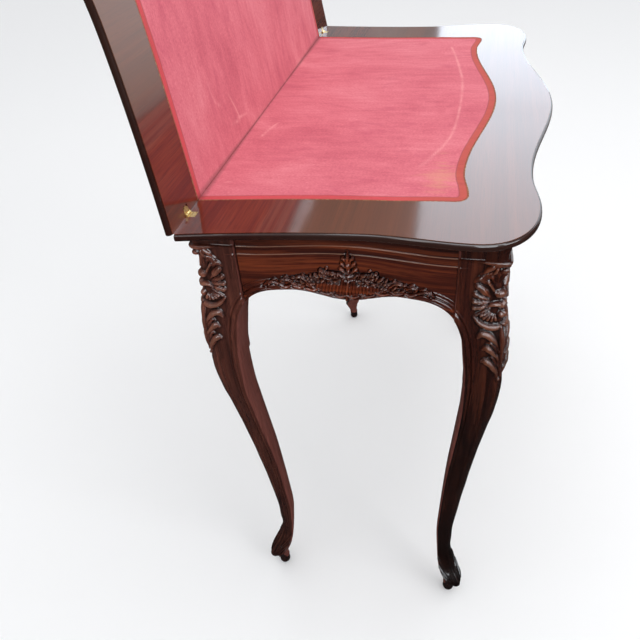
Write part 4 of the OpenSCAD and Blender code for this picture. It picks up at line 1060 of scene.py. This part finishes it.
for side, name in ((-1, "left_apron"), (1, "right_apron")):
    s = np.linspace(-SIDE_HALF, SIDE_BACK - SIDE_MID, 236)
    out = SIDE_OUT - SIDE_HOLLOW * ease(1 - np.abs(s) / SIDE_HALF)
    y = s + SIDE_MID
    apron_piece(name, "table", s, np.stack([side * out, y], 1), unit(side + 0 * s, -np.gradient(out, s)),
                np.stack([side * SIDE_IN + 0 * s, y], 1), SIDE_HALF, SIDE_DROP, UNDER, side_relief)

s = np.linspace(-LONG_HALF, LONG_HALF, 500)
face = front_depth(np.minimum(np.abs(s), TOP["ear_x"]), TOP) - FRONT_INSET
apron_piece("front_apron", "table", s, np.stack([s, -face], 1), unit(-np.gradient(face, s), 0 * s - 1),
            np.stack([s, 0 * s + FRONT_BACK], 1), LONG_HALF, LONG_DROP, UNDER, front_relief)

s = np.linspace(-LONG_HALF, LONG_HALF, 300)
apron_piece("back_apron", "back_frame", s, np.stack([s, 0 * s + BACK_FACE], 1), unit(0 * s, 0 * s + 1),
            np.stack([s, 0 * s + BACK_BACK], 1), LONG_HALF, LONG_DROP, UNDER - BACK_DROP, no_relief, 40)


def pads(name, body, y):
    """Turned pads, a little domed, with a bead round the middle."""
    profile = [(0.0, 0.0), (6.4, 0.0), (7.6, 0.8), (8.9, 3.2), (PAD_R, 6.0), (9.3, 9.5), (8.7, 12.0), (9.2, 14.0),
               (9.1, 16.5), (8.2, PAD_H), (4.0, PAD_H), (0.0, PAD_H)]
    p = np.clip(spline(profile, 5), (0, 0), (PAD_R, PAD_H))
    r, z = p[p[:, 0] > 0.3].T[..., None]
    turns, rows = 40, len(r)
    a = np.linspace(0, 2 * np.pi, turns, endpoint=False)
    ring = np.stack([r * np.cos(a), r * np.sin(a), z + 0 * a], -1).reshape(-1, 3)
    points, quads, ends = [], [], []
    for k, side in enumerate((-1, 1)):
        points.append(ring + (side * (LEG_X + SPLAY - PAD_IN), y, 0))
        quads.append(grid_quads(rows, turns, closed=True) + k * rows * turns)
        ends += [row_of(k * rows, turns)[::-1], row_of(k * rows + rows - 1, turns)]
    mesh = mesh_of(name, in_place(np.vstack(points)), np.vstack(quads), ends)
    add_piece(name + "_turned", mesh, body, PAD_WOOD, name, 50)


pads("front_foot_pads", "table", -(FRONT_LEG_Y - PAD_IN))
pads("back_foot_pads", "back_frame", -(BACK_LEG_Y + PAD_IN))

# Pieces that show the solids themselves
for material, names in (
        (BRASS, ("hinge_plates_top", "hinge_plates_lid", "hinge_pins", "hinge_screws_top", "hinge_screws_lid")),
        (IRON, ("top_screws",)),
        (INNER_WOOD, ("inner_rail", "guide_left", "guide_right", "glue_blocks", "bearer_left", "bearer_right",
                      "bearer_tie"))):
    for name in names:
        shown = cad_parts[name]
        shown.data.materials.clear()
        shown.data.materials.append(material)
        if material is INNER_WOOD:
            bevel = shown.modifiers.new("eased arrises", "BEVEL")
            bevel.width, bevel.segments, bevel.limit_method = ARRIS * MM, 2, "ANGLE"


# Floor, light and camera

floor_mesh = mesh_of("floor", [(-9, -9, 0), (9, -9, 0), (9, 9, 0), (-9, 9, 0)], np.array([[0, 1, 2, 3]]))
floor = link(bpy.data.objects.new("floor", floor_mesh))
floor_mesh.materials.append(Surface("floor", Base_Color=(0.93, 0.93, 0.93), Roughness=0.9,
                                    Specular_IOR_Level=0.0).material)
floor.visible_glossy = False

world = bpy.data.worlds.new("studio")
bpy.context.scene.world = world
world.use_nodes = True
sky = Nodes(world.node_tree)


def glow(azimuth, height, inner, outer, strength):
    """A soft bright patch of sky, in degrees from +X toward +Y and above the horizon."""
    a, e, near, far = (math.radians(turn) for turn in (azimuth, height, inner, outer))
    middle = (math.cos(e) * math.cos(a), math.cos(e) * math.sin(a), math.sin(e))
    dot = sky.made("VectorMath", {0: sky.made("TexCoord", {}, "Generated"), 1: middle}, "Value",
                   operation="DOT_PRODUCT")
    return sky.made("MapRange", {"Value": dot, "From Min": math.cos(far), "From Max": math.cos(near),
                                 "To Max": strength}, "Result", interpolation_type="SMOOTHSTEP")


# What is mirrored in the polish, and what the camera sees, differ from what lights the room.
mirrored = 0.03
for patch in ((0, 90, 20, 62, 0.8), (-34, 7, 3, 22, 1.7), (15, 14, 4, 12, 0.5), (205, 40, 10, 50, 0.5)):
    mirrored = glow(*patch) + mirrored
shown = sky.made("Background", {"Color": (0.97, 0.98, 1.0), "Strength": 0.86})
for strength, colour, rays in ((mirrored, (0.93, 0.96, 1.0), "Is Glossy Ray"),
                               (1.0, (0.96, 0.96, 0.96), "Is Camera Ray")):
    other = sky.made("Background", {"Color": colour, "Strength": strength})
    shown = sky.made("MixShader", {0: sky.made("LightPath", {}, rays), 1: shown, 2: other})
sky.plug(shown, sky.tree.nodes["World Output"].inputs["Surface"])


def turned(right, up, back, place):
    """Matrix of something that looks against back from a place."""
    matrix = Matrix(np.column_stack([right, up, back]).tolist()).to_4x4()
    matrix.translation = place
    return matrix


def area_light(name, place, aim, wide, high, radiance, colour=(0.90, 0.95, 1.0), diffuse=False, glossy=True):
    """A lamp that is seen only in reflections, or only lights what it falls on."""
    data = bpy.data.lights.new(name, "AREA")
    data.shape, data.size, data.size_y = "RECTANGLE", wide, high
    data.energy = radiance * math.pi * wide * high
    data.color = colour
    lamp = link(bpy.data.objects.new(name, data))
    place = np.array(place, float)
    back = (place - aim) / np.linalg.norm(place - aim)
    right = np.cross((0, 0, 1), back)
    right /= np.linalg.norm(right)
    lamp.matrix_world = turned(right, np.cross(back, right), back, place)
    lamp.visible_camera, lamp.visible_diffuse, lamp.visible_glossy = False, diffuse, glossy
    return data


WHITE = (1, 1, 1)
area_light("ceiling", (0.0, -0.2, 3.4), (0, 0, 0.7), 2.4, 2.4, 1.5, WHITE, True, False)
area_light("front", (-1.6, -3.0, 2.6), (0, 0, 0.7), 2.2, 2.2, 2.2, WHITE, True, False)
area_light("skylight", (-0.7, -0.6, 3.2), (-0.3, -0.2, 0.7), 2.2, 2.2, 4.0)
area_light("sky", (-2.7, -1.1, 2.3), (-0.3, -0.2, 0.6), 1.7, 2.1, 7.5)
area_light("front_sky", (-1.2, -2.5, 2.1), (-0.3, -0.3, 0.3), 1.7, 1.7, 7.0, (0.88, 0.94, 1.0))
area_light("left", (-3.2, 1.2, 2.4), (0, 0, 0.6), 0.8, 1.8, 4.5, WHITE)
window = area_light("window", (4.0, -0.65, 2.6), (0.0, -0.12, 0.85), 1.8, 4.3, 4.4, (0.75, 0.85, 0.96))

# The window has thin bars across it.
window.use_nodes = True
glass = Nodes(window.node_tree)
pane = glass.part(glass.made("TexCoord", {}, "UV"), "Y").ramp(
    (0.0, 0.80), (0.2, 0.84), (0.215, 0.72), (0.23, 0.86), (0.42, 0.90), (0.44, 0.78), (0.46, 0.90), (0.9, 0.86),
    (1.0, 0.86))
emission = glass.tree.nodes["Emission"]
glass.plug(pane, emission.inputs["Color"])
emission.inputs["Strength"].default_value = 1.0

# The camera that was solved from the photograph, with its focal length and the picture's width in pixels
SENSOR, FOCAL, PHOTO_WIDE = 36.0, 625.97, 640
data = bpy.data.cameras.new("photo")
camera = link(bpy.data.objects.new("photo", data))
data.sensor_width, data.sensor_fit, data.lens = SENSOR, "HORIZONTAL", SENSOR * FOCAL / PHOTO_WIDE
data.clip_start, data.clip_end = 0.05, 60
right = np.array((0.2174, -0.9731, -0.0766))
forward = np.array((0.7449, 0.2161, -0.6312))
forward /= np.linalg.norm(forward)
right -= forward * (right @ forward)
right /= np.linalg.norm(right)
camera.matrix_world = turned(right, np.cross(right, forward), -forward, (-0.97637, -0.32406 + FOLD_Y * MM, 1.12083))
bpy.context.scene.camera = camera
bpy.context.scene.view_settings.view_transform = "Standard"
